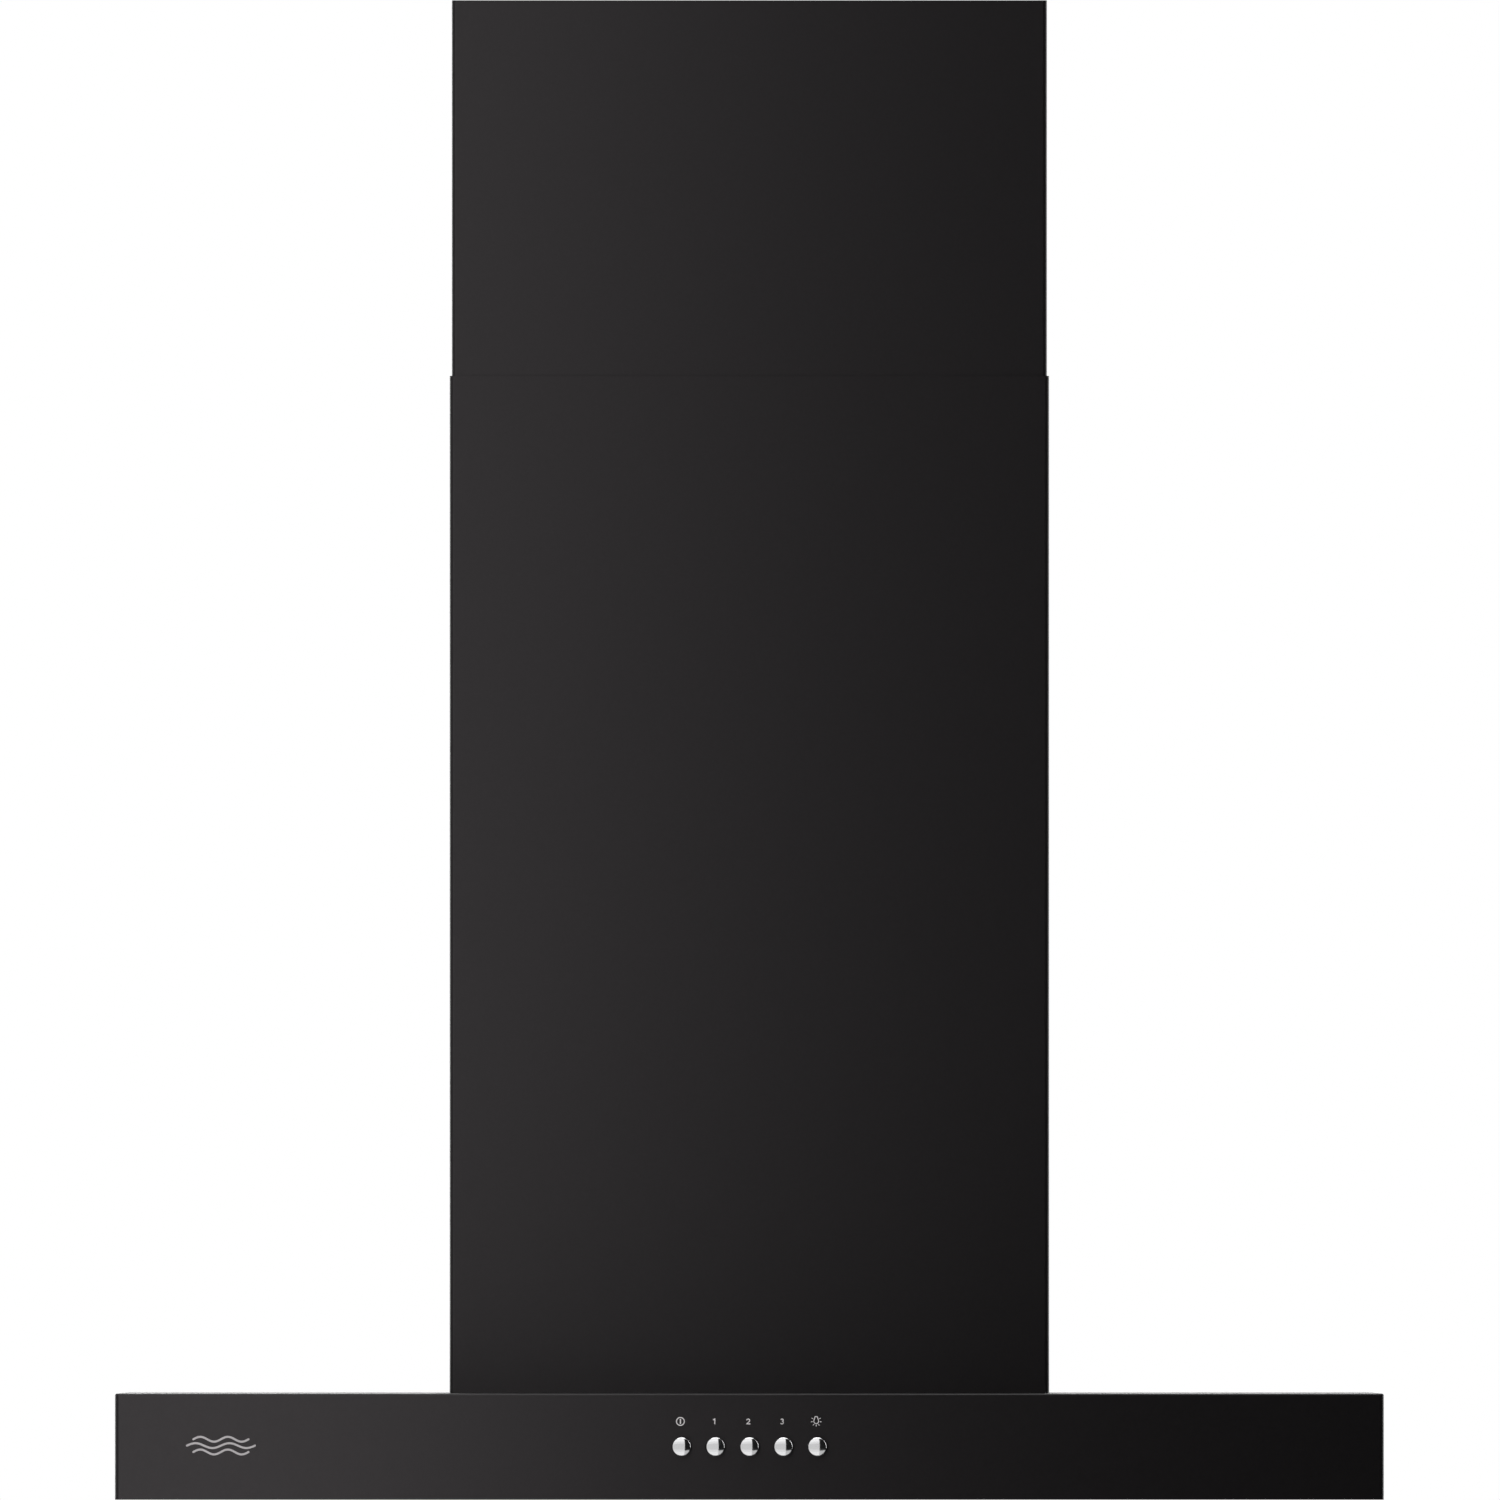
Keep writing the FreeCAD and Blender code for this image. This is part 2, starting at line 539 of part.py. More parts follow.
def latch_housing(s):
    """A cup with a finger recess below, a slot for the bolt in front and a spring bore behind."""
    centre = s * FILTER_X
    body = box(centre - 30, centre + 30, -174.0, -128.0, FILTER_Z + 0.2, FILTER_Z + FILTER_H - 0.2)
    body = round_edges(body, 3.0, lambda e: upright(e) and e.Vertexes[0].Point.y > -130)
    recess = box(centre - 25, centre + 25, -168.5, -146.5, 0, 15.6)
    slot = box(centre - 8.3, centre + 8.3, -175, -168, 9.2, 15.6)
    bore = rod(2.9, (centre, -148, 12.2), Y_AXIS, LATCH_BORE_END + 148)
    return cut(body, [recess, slot, bore])


def latch_slider(s):
    """The sprung bolt: a bevelled nose, a strap along the recess's roof, a finger bar and a plunger."""
    centre = s * FILTER_X
    nose = box(centre - 8, centre + 8, -187.6, -172.6, 9.5, 11.9)
    nose = nose.cut(prism([(centre - 9, -189, 12.5), (centre - 9, -184.5, 12.5), (centre - 9, -189, 9.9)],
                          X_AXIS, 18.0))
    web = box(centre - 8, centre + 8, -175.0, -172.6, 9.5, 15.2)
    strap = box(centre - 8, centre + 8, -175.0, -147.0, 13.6, 15.2)
    bar = box(centre - 20, centre + 20, -149.8, -146.8, 9.2, 15.2)
    bar = round_edges(bar, 1.0, lambda e: upright(e))
    plunger = rod(2.5, (centre, -148, 12.2), Y_AXIS, LATCH_PLUNGER_END + 148)
    return fuse([nose, web, strap, bar, plunger])


def latch_spring(s):
    """Spring that throws the latch, in the bore behind the plunger."""
    length = LATCH_BORE_END - LATCH_PLUNGER_END
    return coil_spring((s * FILTER_X, LATCH_PLUNGER_END + 0.35, 12.2), Y_AXIS, length - 0.7, 2.0, 0.3, 6)


# ---- blower ---------------------------------------------------------------------------------
def motor_box():
    """Sheet-metal box over the canopy's opening, open below, with the outlet in its top."""
    z0 = CANOPY_H + PLATE_T
    shell = square(BOX_HALF, z0, BOX_TOP).cut(square(BOX_HALF - BOX_T, z0 - 1, BOX_TOP - BOX_T))
    feet = [box(s * BOX_HALF, s * (BOX_HALF + 9), -45, 45, z0, z0 + BOX_T) for s in SIDES]
    feet += [box(-45, 45, s * BOX_HALF, s * (BOX_HALF + 9), z0, z0 + BOX_T) for s in SIDES]
    outlet = box(-SCROLL_HALF + SCROLL_T, SCROLL_HALF - SCROLL_T, *OUTLET_Y, BOX_TOP - 3, BOX_TOP + 1)
    wire_hole = rod(7.0, (104, -30, BOX_TOP - 3), Z_AXIS, 5.0)
    screw_holes = [rod(2.0, (x, y, BOX_TOP - 3), Z_AXIS, 5.0) for x, y in adapter_screw_spots()]
    return cut(fuse([shell] + feet), [outlet, wire_hole] + screw_holes)


def scroll_face(grow):
    """The scroll's side view in the YZ plane, from quarter arcs of shrinking radius, pushed out by grow."""
    half = SCROLL_STEP / 2
    centres = [(half, half), (half, -half), (-half, -half), (-half, half)]
    radii = [SCROLL_R - SCROLL_STEP * k + grow for k in range(4)]
    top = BOX_TOP - BOX_T + 2.0

    def at(k, degrees):
        """The point on quarter k at this angle, counted from +Y towards -Z."""
        a = math.radians(degrees)
        return Vector(0, WHEEL_Y + centres[k][0] + radii[k] * math.cos(a),
                      WHEEL_Z + centres[k][1] - radii[k] * math.sin(a))

    inner_y = OUTLET_Y[0] - grow
    last = 270.0 + math.degrees(math.asin((inner_y - WHEEL_Y + half) / radii[3]))
    spans = [(0, 0, 90), (1, 90, 180), (2, 180, 270), (3, 270, last)]
    edges = [Part.Arc(at(k, a), at(k, (a + b) / 2), at(k, b)).toShape() for k, a, b in spans]
    start, end = at(0, 0), at(3, last)
    corners = [end, Vector(0, end.y, top), Vector(0, start.y, top), start]
    edges += [Part.LineSegment(corners[k], corners[k + 1]).toShape() for k in range(3)]
    return Part.Face(Part.Wire(edges))


def scroll_lug_spots():
    """Where the two halves are screwed together, as angles round the wheel and distances."""
    return [(-60.0, SCROLL_R + 4.5), (-125.0, SCROLL_R - 2), (-190.0, SCROLL_R - 8), (-245.0, SCROLL_R - 14.5)]


def lug_centre(degrees, distance):
    a = math.radians(degrees)
    return WHEEL_Y + distance * math.cos(a), WHEEL_Z + distance * math.sin(a)


def blower_housing(s):
    """One half of the scroll, parted at X = 0, with its inlet ring and screw lugs."""
    def slab(face, x0, x1):
        moved = face.copy()
        moved.translate(Vector(min(x0, x1), 0, 0))
        return moved.extrude(X_AXIS * abs(x1 - x0))

    outer = slab(scroll_face(SCROLL_T), 0, s * SCROLL_HALF)
    lugs = []
    for degrees, distance in scroll_lug_spots():
        y, z = lug_centre(degrees, distance - 1.5)
        lugs.append(rod(6.0, (0, y, z), s * X_AXIS, 5.0))
    top = BOX_TOP - BOX_T
    flange = box(0, s * (SCROLL_HALF + 8), OUTLET_Y[0] - 8, OUTLET_Y[1] + 8, top - 2.5, top)
    mouth = rod(INLET_R + 3.0, (s * SCROLL_HALF, WHEEL_Y, WHEEL_Z), s * X_AXIS, 3.0)
    body = fuse([outer, flange, mouth] + lugs)
    tools = [slab(scroll_face(0.0), -s * 1.0, s * (SCROLL_HALF - SCROLL_T)),
             box(-70, 70, -200, 200, top, top + 30),
             rod(INLET_R, (s * (SCROLL_HALF - 4), WHEEL_Y, WHEEL_Z), s * X_AXIS, 9.0)]
    for degrees, distance in scroll_lug_spots():
        y, z = lug_centre(degrees, distance)
        tools.append(rod(1.6, (-s * 1.0, y, z), s * X_AXIS, 8.0))
    return cut(body, tools)


def housing_screws():
    """Screws through the lugs of both halves."""
    screws = []
    for degrees, distance in scroll_lug_spots():
        y, z = lug_centre(degrees, distance)
        screws.append(head_screw((-5, y, z), X_AXIS, 1.5, 9.0, 2.8, 2.0))
    return screws


def fan_wheel():
    """Double-inlet wheel without its blades: an end ring at each side, and the centre disc with its hub."""
    disc = rod(BLADE_ROOT, (-1.0, WHEEL_Y, WHEEL_Z), X_AXIS, 2.0)
    hub = rod(13.0, (-4.0, WHEEL_Y, WHEEL_Z), X_AXIS, 20.0)
    centre = cut(fuse([disc, hub]), [rod(SHAFT_R, (-10, WHEEL_Y, WHEEL_Z), X_AXIS, 40.0)])
    rings = [ring(WHEEL_R, WHEEL_R - 5.0, (x, WHEEL_Y, WHEEL_Z), X_AXIS, END_RING_T)
             for x in (-WHEEL_HALF, WHEEL_HALF - END_RING_T)]
    return [centre] + rings


def fan_blades():
    """Forward-curved blades between the end rings, crimped to the disc at their roots."""
    tip = WHEEL_R - 0.5
    lean = math.radians(9.0)
    x0 = -WHEEL_HALF + END_RING_T
    a = Vector(x0, BLADE_ROOT, 0)
    b = Vector(x0, tip * math.cos(lean), tip * math.sin(lean))
    c = Vector(x0, (tip + BLADE_ROOT) / 2, 2.2)
    thick = Vector(0, 0, BLADE_T)
    edges = [Part.Arc(a, c, b).toShape(), Part.LineSegment(b, b + thick).toShape(),
             Part.Arc(b + thick, c + thick, a + thick).toShape(), Part.LineSegment(a + thick, a).toShape()]
    blade = Part.Face(Part.Wire(edges)).extrude(X_AXIS * -2 * x0)
    made = []
    for k in range(BLADES):
        one = blade.copy()
        one.rotate(Vector(0, 0, 0), X_AXIS, 360.0 * k / BLADES)
        one.translate(Vector(0, WHEEL_Y, WHEEL_Z))
        made.append(one)
    return made


def motor_shaft():
    return rod(SHAFT_R, (-66.0, WHEEL_Y, WHEEL_Z), X_AXIS, 84.0)


def motor_body():
    """Outer can with stator ribs, bored for the shaft."""
    can = rod(40.0, (-61.0, WHEEL_Y, WHEEL_Z), X_AXIS, 54.0)
    can = round_edges(can, 5.0, lambda e: e.Length > 200 and e.Vertexes[0].Point.x > -20)
    grooves = []
    for k in range(10):
        groove = box(-52.0, -22.0, WHEEL_Y - 2, WHEEL_Y + 2, WHEEL_Z + 37.5, WHEEL_Z + 45)
        groove.rotate(Vector(0, WHEEL_Y, WHEEL_Z), X_AXIS, 36.0 * k)
        grooves.append(groove)
    return cut(can, grooves + [rod(SHAFT_R + 0.05, (-70, WHEEL_Y, WHEEL_Z), X_AXIS, 90.0)])


def motor_bracket():
    """Three arms over the left inlet that carry the motor, standing on posts."""
    x1 = -61.0
    plate = rod(24.0, (x1 - 2, WHEEL_Y, WHEEL_Z), X_AXIS, 2.0)
    parts = [plate]
    for k in range(3):
        arm = box(x1 - 2, x1, WHEEL_Y - 6, WHEEL_Y + 6, WHEEL_Z + 15, WHEEL_Z + 76)
        post = rod(4.5, (x1 - 1, WHEEL_Y, WHEEL_Z + 71), X_AXIS, -SCROLL_HALF - x1 + 1)
        for piece in (arm, post):
            piece.rotate(Vector(0, WHEEL_Y, WHEEL_Z), X_AXIS, 120.0 * k + 20)
            parts.append(piece)
    return cut(fuse(parts), [rod(7.0, (x1 - 3, WHEEL_Y, WHEEL_Z), X_AXIS, 5.0)])


def inlet_grille():
    """Finger guard on the right inlet: rings joined by spokes."""
    x0 = SCROLL_HALF + 3.0
    radii = [(66.0, 60.5), (50.0, 48.0), (37.5, 35.5), (25.0, 23.0), (12.0, 0.0)]
    parts = []
    for outer, inner in radii:
        start = (x0, WHEEL_Y, WHEEL_Z)
        parts.append(ring(outer, inner, start, X_AXIS, 2.0) if inner else rod(outer, start, X_AXIS, 2.0))
    for k in range(6):
        spoke = box(x0, x0 + 2, WHEEL_Y - 1.2, WHEEL_Y + 1.2, WHEEL_Z + 8, WHEEL_Z + 63)
        spoke.rotate(Vector(0, WHEEL_Y, WHEEL_Z), X_AXIS, 60.0 * k)
        parts.append(spoke)
    return fuse(parts)


def capacitor():
    """Run capacitor standing on the box's right wall side, with two blade terminals."""
    x, y = 92.0, -84.0
    can = round_edges(rod(14.0, (x, y, 70), Z_AXIS, 56.0), 2.0, flat_at(126.0))
    strap = box(x, BOX_HALF - BOX_T, y - 6, y + 6, 92, 104)
    blades = [box(x - 0.4, x + 0.4, y + s * 5 - 2, y + s * 5 + 2, 125, 133) for s in SIDES]
    return fuse([can, strap] + blades)


def outlet_adapter():
    """Plenum that carries the scroll's off-centre outlet to the centred spigot."""
    z0, z1, wall = BOX_TOP, ADAPTER_TOP, 2.5
    shell = round_edges(box(-79, 79, -80, 108, z0, z1), 8.0, upright)
    shell = round_edges(shell, 3.0, flat_at(z1))
    flange = round_edges(box(-79, 79, -90, 118, z0, z0 + wall), 8.0, upright)
    hollow = round_edges(box(-79 + wall, 79 - wall, -80 + wall, 108 - wall, z0 - 1, z1 - wall), 5.5, upright)
    screws = [rod(2.2, (x, y, z0 - 1), Z_AXIS, 5.0) for x, y in adapter_screw_spots()]
    return cut(fuse([shell, flange]), [hollow, rod(SPIGOT_BORE, (0, 0, z1 - 5), Z_AXIS, 8.0)] + screws)


def adapter_screw_spots():
    return [(x, y) for x in (-60, 0, 60) for y in (-85, 113)]


def adapter_screws():
    return [head_screw((x, y, BOX_TOP + 2.5), -Z_AXIS, 1.9, 6.5, 3.6, 2.2) for x, y in adapter_screw_spots()]


def outlet_spigot():
    """Round duct collar with a foot ring, a seat for the two flaps and a bar between them."""
    z0 = ADAPTER_TOP
    tube = ring(SPIGOT_R, SPIGOT_BORE, (0, 0, z0), Z_AXIS, SPIGOT_TOP - z0)
    seat = ring(SPIGOT_BORE + 0.5, SPIGOT_BORE - 4.0, (0, 0, FLAP_Z - 2.7), Z_AXIS, 2.0)
    seat = seat.cut(box(-80, 80, -10, 10, 0, 400))
    bar = box(-SPIGOT_BORE - 0.5, SPIGOT_BORE + 0.5, -2.5, 2.5, FLAP_Z - 7.0, FLAP_Z - 3.7)
    pivots = []
    for sy in SIDES:
        pivots += [rod(1.55, (s * 71.0, sy * FLAP_Y, FLAP_Z), s * X_AXIS, 3.4) for s in SIDES]
    return cut(fuse([tube, seat, bar]), pivots)


def check_flap(sy):
    """A half disc with a pivot pin at each end of its straight side."""
    disc = rod(FLAP_R, (0, 0, FLAP_Z - 0.6), Z_AXIS, 1.2)
    half = disc.common(box(-80, 80, sy * (FLAP_Y - 3.5), sy * 90, FLAP_Z - 1, FLAP_Z + 1))
    reach = math.sqrt(FLAP_R ** 2 - (FLAP_Y + 1.0) ** 2)
    barrel = rod(1.45, (-reach, sy * FLAP_Y, FLAP_Z), X_AXIS, 2 * reach)
    pins = [rod(1.5, (s * (reach - 4), sy * FLAP_Y, FLAP_Z), s * X_AXIS, 74.1 - reach + 4) for s in SIDES]
    return fuse([half, barrel] + pins)


# ---- electrics ------------------------------------------------------------------------------
TERMINAL_X, TERMINAL_Y = (86.0, 121.0), (-62.0, 52.0)
TERMINAL_TOP = 322.0


def terminal_box():
    """Open tray on the motor box, beside the adapter."""
    (x0, x1), (y0, y1), wall = TERMINAL_X, TERMINAL_Y, 2.0
    tray = round_edges(box(x0, x1, y0, y1, BOX_TOP, TERMINAL_TOP), 3.0, upright)
    hollow = box(x0 + wall, x1 - wall, y0 + wall, y1 - wall, BOX_TOP + wall, TERMINAL_TOP + 1)
    return cut(tray, [hollow, rod(7.0, (104, -30, BOX_TOP - 1), Z_AXIS, 5.0)])


def terminal_cover():
    (x0, x1), (y0, y1) = TERMINAL_X, TERMINAL_Y
    lid = round_edges(box(x0, x1, y0, y1, TERMINAL_TOP, TERMINAL_TOP + 2), 3.0, upright)
    middle = (x0 + x1) / 2
    return cut(lid, [rod(6.6, (middle, 30, TERMINAL_TOP - 1), Z_AXIS, 5.0)]
               + [rod(1.8, (middle, y, TERMINAL_TOP - 1), Z_AXIS, 5.0) for y in (-56.5, 46.5)])


def terminal_block():
    """A row of five screw terminals."""
    middle = sum(TERMINAL_X) / 2
    z0 = BOX_TOP + 2.0
    base = box(middle - 9, middle + 9, -16, 19, z0, z0 + 12)
    posts = [box(middle - 6, middle + 6, y - 2.6, y + 2.6, z0 + 11, z0 + 17) for y in (-12, -5.5, 1.0, 7.5, 14)]
    wells = [rod(1.7, (middle, y, z0 + 13), Z_AXIS, 5.0) for y in (-12, -5.5, 1.0, 7.5, 14)]
    return cut(fuse([base] + posts), wells)


def cable_gland():
    """Inlet for the mains cable, through the terminal cover."""
    x, y, z = sum(TERMINAL_X) / 2, 30.0, TERMINAL_TOP + 2
    parts = [hexagon(17.0, (x, y, z), Z_AXIS, 4.0), rod(6.4, (x, y, z - 6), Z_AXIS, 12.0),
             hexagon(14.0, (x, y, z + 5), Z_AXIS, 7.0), rod(6.9, (x, y, z + 4), Z_AXIS, 1.5),
             Part.makeCone(6.8, 5.2, 4.0, Vector(x, y, z + 12))]
    return cut(fuse(parts), [rod(4.0, (x, y, z - 8), Z_AXIS, 30.0)])


def led_driver():
    """Lamp supply screwed to the underside of the canopy's top sheet."""
    z1 = CANOPY_H - CANOPY_T
    case = round_edges(box(-58, 58, 212, 258, z1 - 22, z1), 2.0, lambda e: not flat_at(z1)(e))
    ears = [box(s * 57, s * 68, 225, 245, z1 - 2.5, z1) for s in SIDES]
    holes = [rod(2.2, (s * 63, 235, z1 - 4), Z_AXIS, 5.0) for s in SIDES]
    return cut(fuse([case] + ears), holes)


# ---- writing --------------------------------------------------------------------------------
def place(shape):
    """Puts a shape laid out from the canopy's lower edge into the frame of the ceiling plane."""
    moved = shape.copy()
    moved.translate(Vector(0, 0, -TOTAL_H))
    return moved


def write(name, solids):
    """Writes one node from a solid or a list of separate solids."""
    pieces = [s for shape in (solids if isinstance(solids, list) else [solids]) for s in shape.Solids]
    for piece in pieces:
        if not piece.isValid() or piece.Volume <= 0:
            raise ValueError(name + " holds a solid that is not valid")
    shape = pieces[0] if len(pieces) == 1 else Part.makeCompound(pieces)
    place(shape).exportStep(os.path.join(OUT, name + ".step"))
    print(f"{name:24s} solids {len(pieces):2d}  volume {shape.Volume / 1000:9.2f} cm3")


def main():
    os.makedirs(OUT, exist_ok=True)
    for old in os.listdir(OUT):
        os.remove(os.path.join(OUT, old))

    write("ceiling_plate", ceiling_plate())
    write("upper_frame_legs", four_corners(upper_leg))
    write("upper_frame_bolts", upper_frame_bolts())
    write("upper_chimney_front", upper_chimney(-1))
    write("upper_chimney_rear", upper_chimney(1))
    write("chimney_screws", chimney_screws())

    write("lower_chimney_front", lower_chimney(-1))
    write("lower_chimney_rear", lower_chimney(1))
    write("chimney_foot_screws", chimney_foot_screws())
    write("lower_frame_legs", four_corners(lower_leg))
    write("frame_brace", frame_brace())
    write("foot_bolts", foot_bolts())
    write("mounting_plate", mounting_plate())
    write("plate_screws", plate_screws())
    write("canopy_shell", canopy_shell())
    write("bottom_pan", bottom_pan())
    write("pan_screws", pan_screws())

    write("lamp_bezels", four_corners(lambda sx, sy: lamp_bezel(sx * LAMP_X, sy * LAMP_Y)))
    write("lamp_lenses", four_corners(lambda sx, sy: lamp_lens(sx * LAMP_X, sy * LAMP_Y)))
    write("lamp_modules", four_corners(lambda sx, sy: lamp_module(sx * LAMP_X, sy * LAMP_Y)))

    write("button_guide", button_guide())
    write("switch_housing", switch_housing())
    write("switch_cover", switch_cover())
    for name, x in zip(BUTTONS, button_xs()):
        write("button_" + name, button(x))
    write("button_springs", button_springs())

    for name, s in (("left", -1), ("right", 1)):
        write("filter_frame_" + name, filter_frame(s))
        write("filter_mesh_" + name, filter_mesh(s))
        write("latch_housing_" + name, latch_housing(s))
        write("latch_slider_" + name, latch_slider(s))
        write("latch_spring_" + name, latch_spring(s))
        write("blower_housing_" + name, blower_housing(s))

    write("motor_box", motor_box())
    write("housing_screws", housing_screws())
    write("fan_wheel", fan_wheel())
    write("fan_blades", fan_blades())
    write("motor_shaft", motor_shaft())
    write("motor_body", motor_body())
    write("motor_bracket", motor_bracket())
    write("inlet_grille", inlet_grille())
    write("capacitor", capacitor())
    write("outlet_adapter", outlet_adapter())
    write("adapter_screws", adapter_screws())
    write("outlet_spigot", outlet_spigot())
    write("check_flap_front", check_flap(-1))
    write("check_flap_rear", check_flap(1))

    write("terminal_box", terminal_box())
    write("terminal_cover", terminal_cover())
    write("terminal_block", terminal_block())
    write("cable_gland", cable_gland())
    write("led_driver", led_driver())


main()
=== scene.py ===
"""Looks of the ceiling-hung island range hood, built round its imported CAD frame.

Metres, +Z up, front towards -Y.
"""

import json
import math

import bmesh
import bpy
from mathutils import Matrix, Vector


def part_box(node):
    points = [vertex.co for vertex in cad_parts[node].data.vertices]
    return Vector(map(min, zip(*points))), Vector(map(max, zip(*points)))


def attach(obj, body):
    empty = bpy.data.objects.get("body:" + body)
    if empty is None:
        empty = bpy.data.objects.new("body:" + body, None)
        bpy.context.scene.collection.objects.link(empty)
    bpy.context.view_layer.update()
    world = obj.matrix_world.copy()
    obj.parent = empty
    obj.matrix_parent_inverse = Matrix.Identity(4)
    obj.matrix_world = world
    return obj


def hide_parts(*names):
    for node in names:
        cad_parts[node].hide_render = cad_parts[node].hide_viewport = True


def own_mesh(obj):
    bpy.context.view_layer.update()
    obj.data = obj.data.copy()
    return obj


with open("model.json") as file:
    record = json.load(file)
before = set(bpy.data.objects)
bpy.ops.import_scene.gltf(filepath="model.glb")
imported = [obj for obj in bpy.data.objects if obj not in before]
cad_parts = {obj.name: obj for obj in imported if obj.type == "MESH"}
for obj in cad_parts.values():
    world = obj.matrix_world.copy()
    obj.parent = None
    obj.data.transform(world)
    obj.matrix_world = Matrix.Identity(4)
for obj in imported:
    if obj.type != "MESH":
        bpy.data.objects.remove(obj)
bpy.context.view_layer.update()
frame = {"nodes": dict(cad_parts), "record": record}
NODES = frame["nodes"]

MM = 0.001
CANOPY_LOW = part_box("canopy_shell")[0]
FRONT_Y = CANOPY_LOW.y
BOTTOM_Z = CANOPY_LOW.z
BUTTONS = ("button_off", "button_speed_1", "button_speed_2", "button_speed_3", "button_light")
SIDES = ("left", "right")


# ---- shaders --------------------------------------------------------------------------------
NOISE_RANGE = (0.3, 0.7)    # the part of 0 to 1 that noise mostly stays in
GRAIN_ALONG, GRAIN_ACROSS = 12.0, 1400.0    # how fine a brushed grain is, each way


class Shader:
    """A material whose nodes are added one at a time."""

    def __init__(self, name, color, metallic=0.0, roughness=0.5, **sockets):
        self.material = bpy.data.materials.new(name)
        self.material.use_nodes = True
        self.tree = self.material.node_tree
        self.bsdf = self.tree.nodes["Principled BSDF"]
        self.bsdf.inputs["Base Color"].default_value = (*color, 1.0)
        self.bsdf.inputs["Metallic"].default_value = metallic
        self.bsdf.inputs["Roughness"].default_value = roughness
        for key, value in sockets.items():
            self.bsdf.inputs[key.replace("_", " ")].default_value = value
        self.place = self.add("ShaderNodeTexCoord").outputs["Object"]

    def add(self, kind, inputs=None, **properties):
        """Adds a node. An input is a value, or the output socket that feeds it."""
        node = self.tree.nodes.new(kind)
        for key, value in properties.items():
            setattr(node, key, value)
        for key, value in (inputs or {}).items():
            if isinstance(value, bpy.types.NodeSocket):
                self.tree.links.new(value, node.inputs[key])
            else:
                node.inputs[key].default_value = value
        return node

    def link(self, output, socket):
        """Feeds an output to a socket of the Principled shader."""
        self.tree.links.new(output, self.bsdf.inputs[socket])

    def stretched(self, scale):
        """The object's own coordinates, scaled along each axis."""
        inputs = {"Vector": self.place, "Scale": scale}
        return self.add("ShaderNodeMapping", inputs).outputs["Vector"]

    def noise(self, scale, detail=3.0, vector=None, roughness=0.5):
        """Soft noise, about scale blobs to the metre."""
        inputs = {"Vector": vector or self.place, "Scale": scale,
                  "Detail": detail, "Roughness": roughness}
        return self.add("ShaderNodeTexNoise", inputs).outputs["Fac"]

    def cells(self, scale, feature="F1"):
        """A pattern of separate cells, about scale of them to the metre."""
        inputs = {"Vector": self.place, "Scale": scale}
        return self.add("ShaderNodeTexVoronoi", inputs, feature=feature)

    def spread(self, value, low, high, source=NOISE_RANGE):
        """Maps a value from the source range to the range low to high."""
        inputs = {"Value": value, "From Min": source[0], "From Max": source[1],
                  "To Min": low, "To Max": high}
        return self.add("ShaderNodeMapRange", inputs).outputs["Result"]

    def between(self, factor, a, b):
        """A colour that runs from a to b with factor."""
        ramp = self.add("ShaderNodeValToRGB", {"Fac": factor})
        for stop, position, color in zip(ramp.color_ramp.elements, NOISE_RANGE, (a, b)):
            stop.position = position
            stop.color = (*color, 1.0)
        return ramp.outputs["Color"]

    def clouded(self, pattern, color, depth):
        """Sets a base colour that darkens to depth times itself with a pattern."""
        self.link(self.between(pattern, tuple(depth * c for c in color), color), "Base Color")

    def bump(self, height, strength, distance):
        """Relief from a pattern, distance metres deep."""
        inputs = {"Height": height, "Strength": strength, "Distance": distance}
        self.link(self.add("ShaderNodeBump", inputs).outputs["Normal"], "Normal")


def lacquer(name, dark, light, low=0.37, high=0.41):
    """Baked powder coat: near black, satin, with a very fine pebble."""
    s = Shader(name, dark, roughness=low, Specular_IOR_Level=0.25)
    s.link(s.between(s.noise(700.0, 3.0), dark, light), "Base Color")
    s.link(s.spread(s.noise(420.0, 4.0), low, high), "Roughness")
    s.bump(s.noise(1500.0, 2.0), 0.10, 0.00006)
    return s.material


def zinc(name, color, low=0.30, high=0.42, spangle=210.0):
    """Galvanised sheet: metal with small pale crystal cells, clouded, and a rolled grain."""
    s = Shader(name, color, metallic=1.0, roughness=low)
    crystal = s.cells(spangle, feature="SMOOTH_F1").outputs["Color"]
    grey = s.add("ShaderNodeSeparateColor", {"Color": crystal}).outputs["Red"]
    cloud = s.add("ShaderNodeMath", {0: grey, 1: s.noise(45.0, 4.0)}, operation="ADD")
    half = s.add("ShaderNodeMath", {0: cloud.outputs[0], 1: 0.5}, operation="MULTIPLY")
    pattern = half.outputs[0]
    s.clouded(pattern, color, 0.88)
    s.link(s.spread(pattern, low, high), "Roughness")
    s.bump(s.noise(900.0, 3.0), 0.15, 0.00005)
    return s.material


def brushed(name, color, along, low, high):
    """Metal with a fine brushed grain; along is the direction that the grain runs in."""
    s = Shader(name, color, metallic=1.0, roughness=low)
    scale = tuple(GRAIN_ALONG if axis else GRAIN_ACROSS for axis in along)
    grain = s.noise(1.0, 4.0, s.stretched(scale), 0.6)
    s.clouded(grain, color, 0.88)
    s.link(s.spread(grain, low, high), "Roughness")
    s.bump(grain, 0.25, 0.00003)
    return s.material


def plastic(name, color):
    """Moulded plastic with an even spark-eroded texture and faint flow variation."""
    s = Shader(name, color, roughness=0.38)
    s.clouded(s.noise(22.0, 4.0), color, 0.90)
    s.link(s.spread(s.noise(60.0, 3.0), 0.38, 0.52), "Roughness")
    s.bump(s.cells(700.0).outputs["Distance"], 0.22, 0.00006)
    return s.material


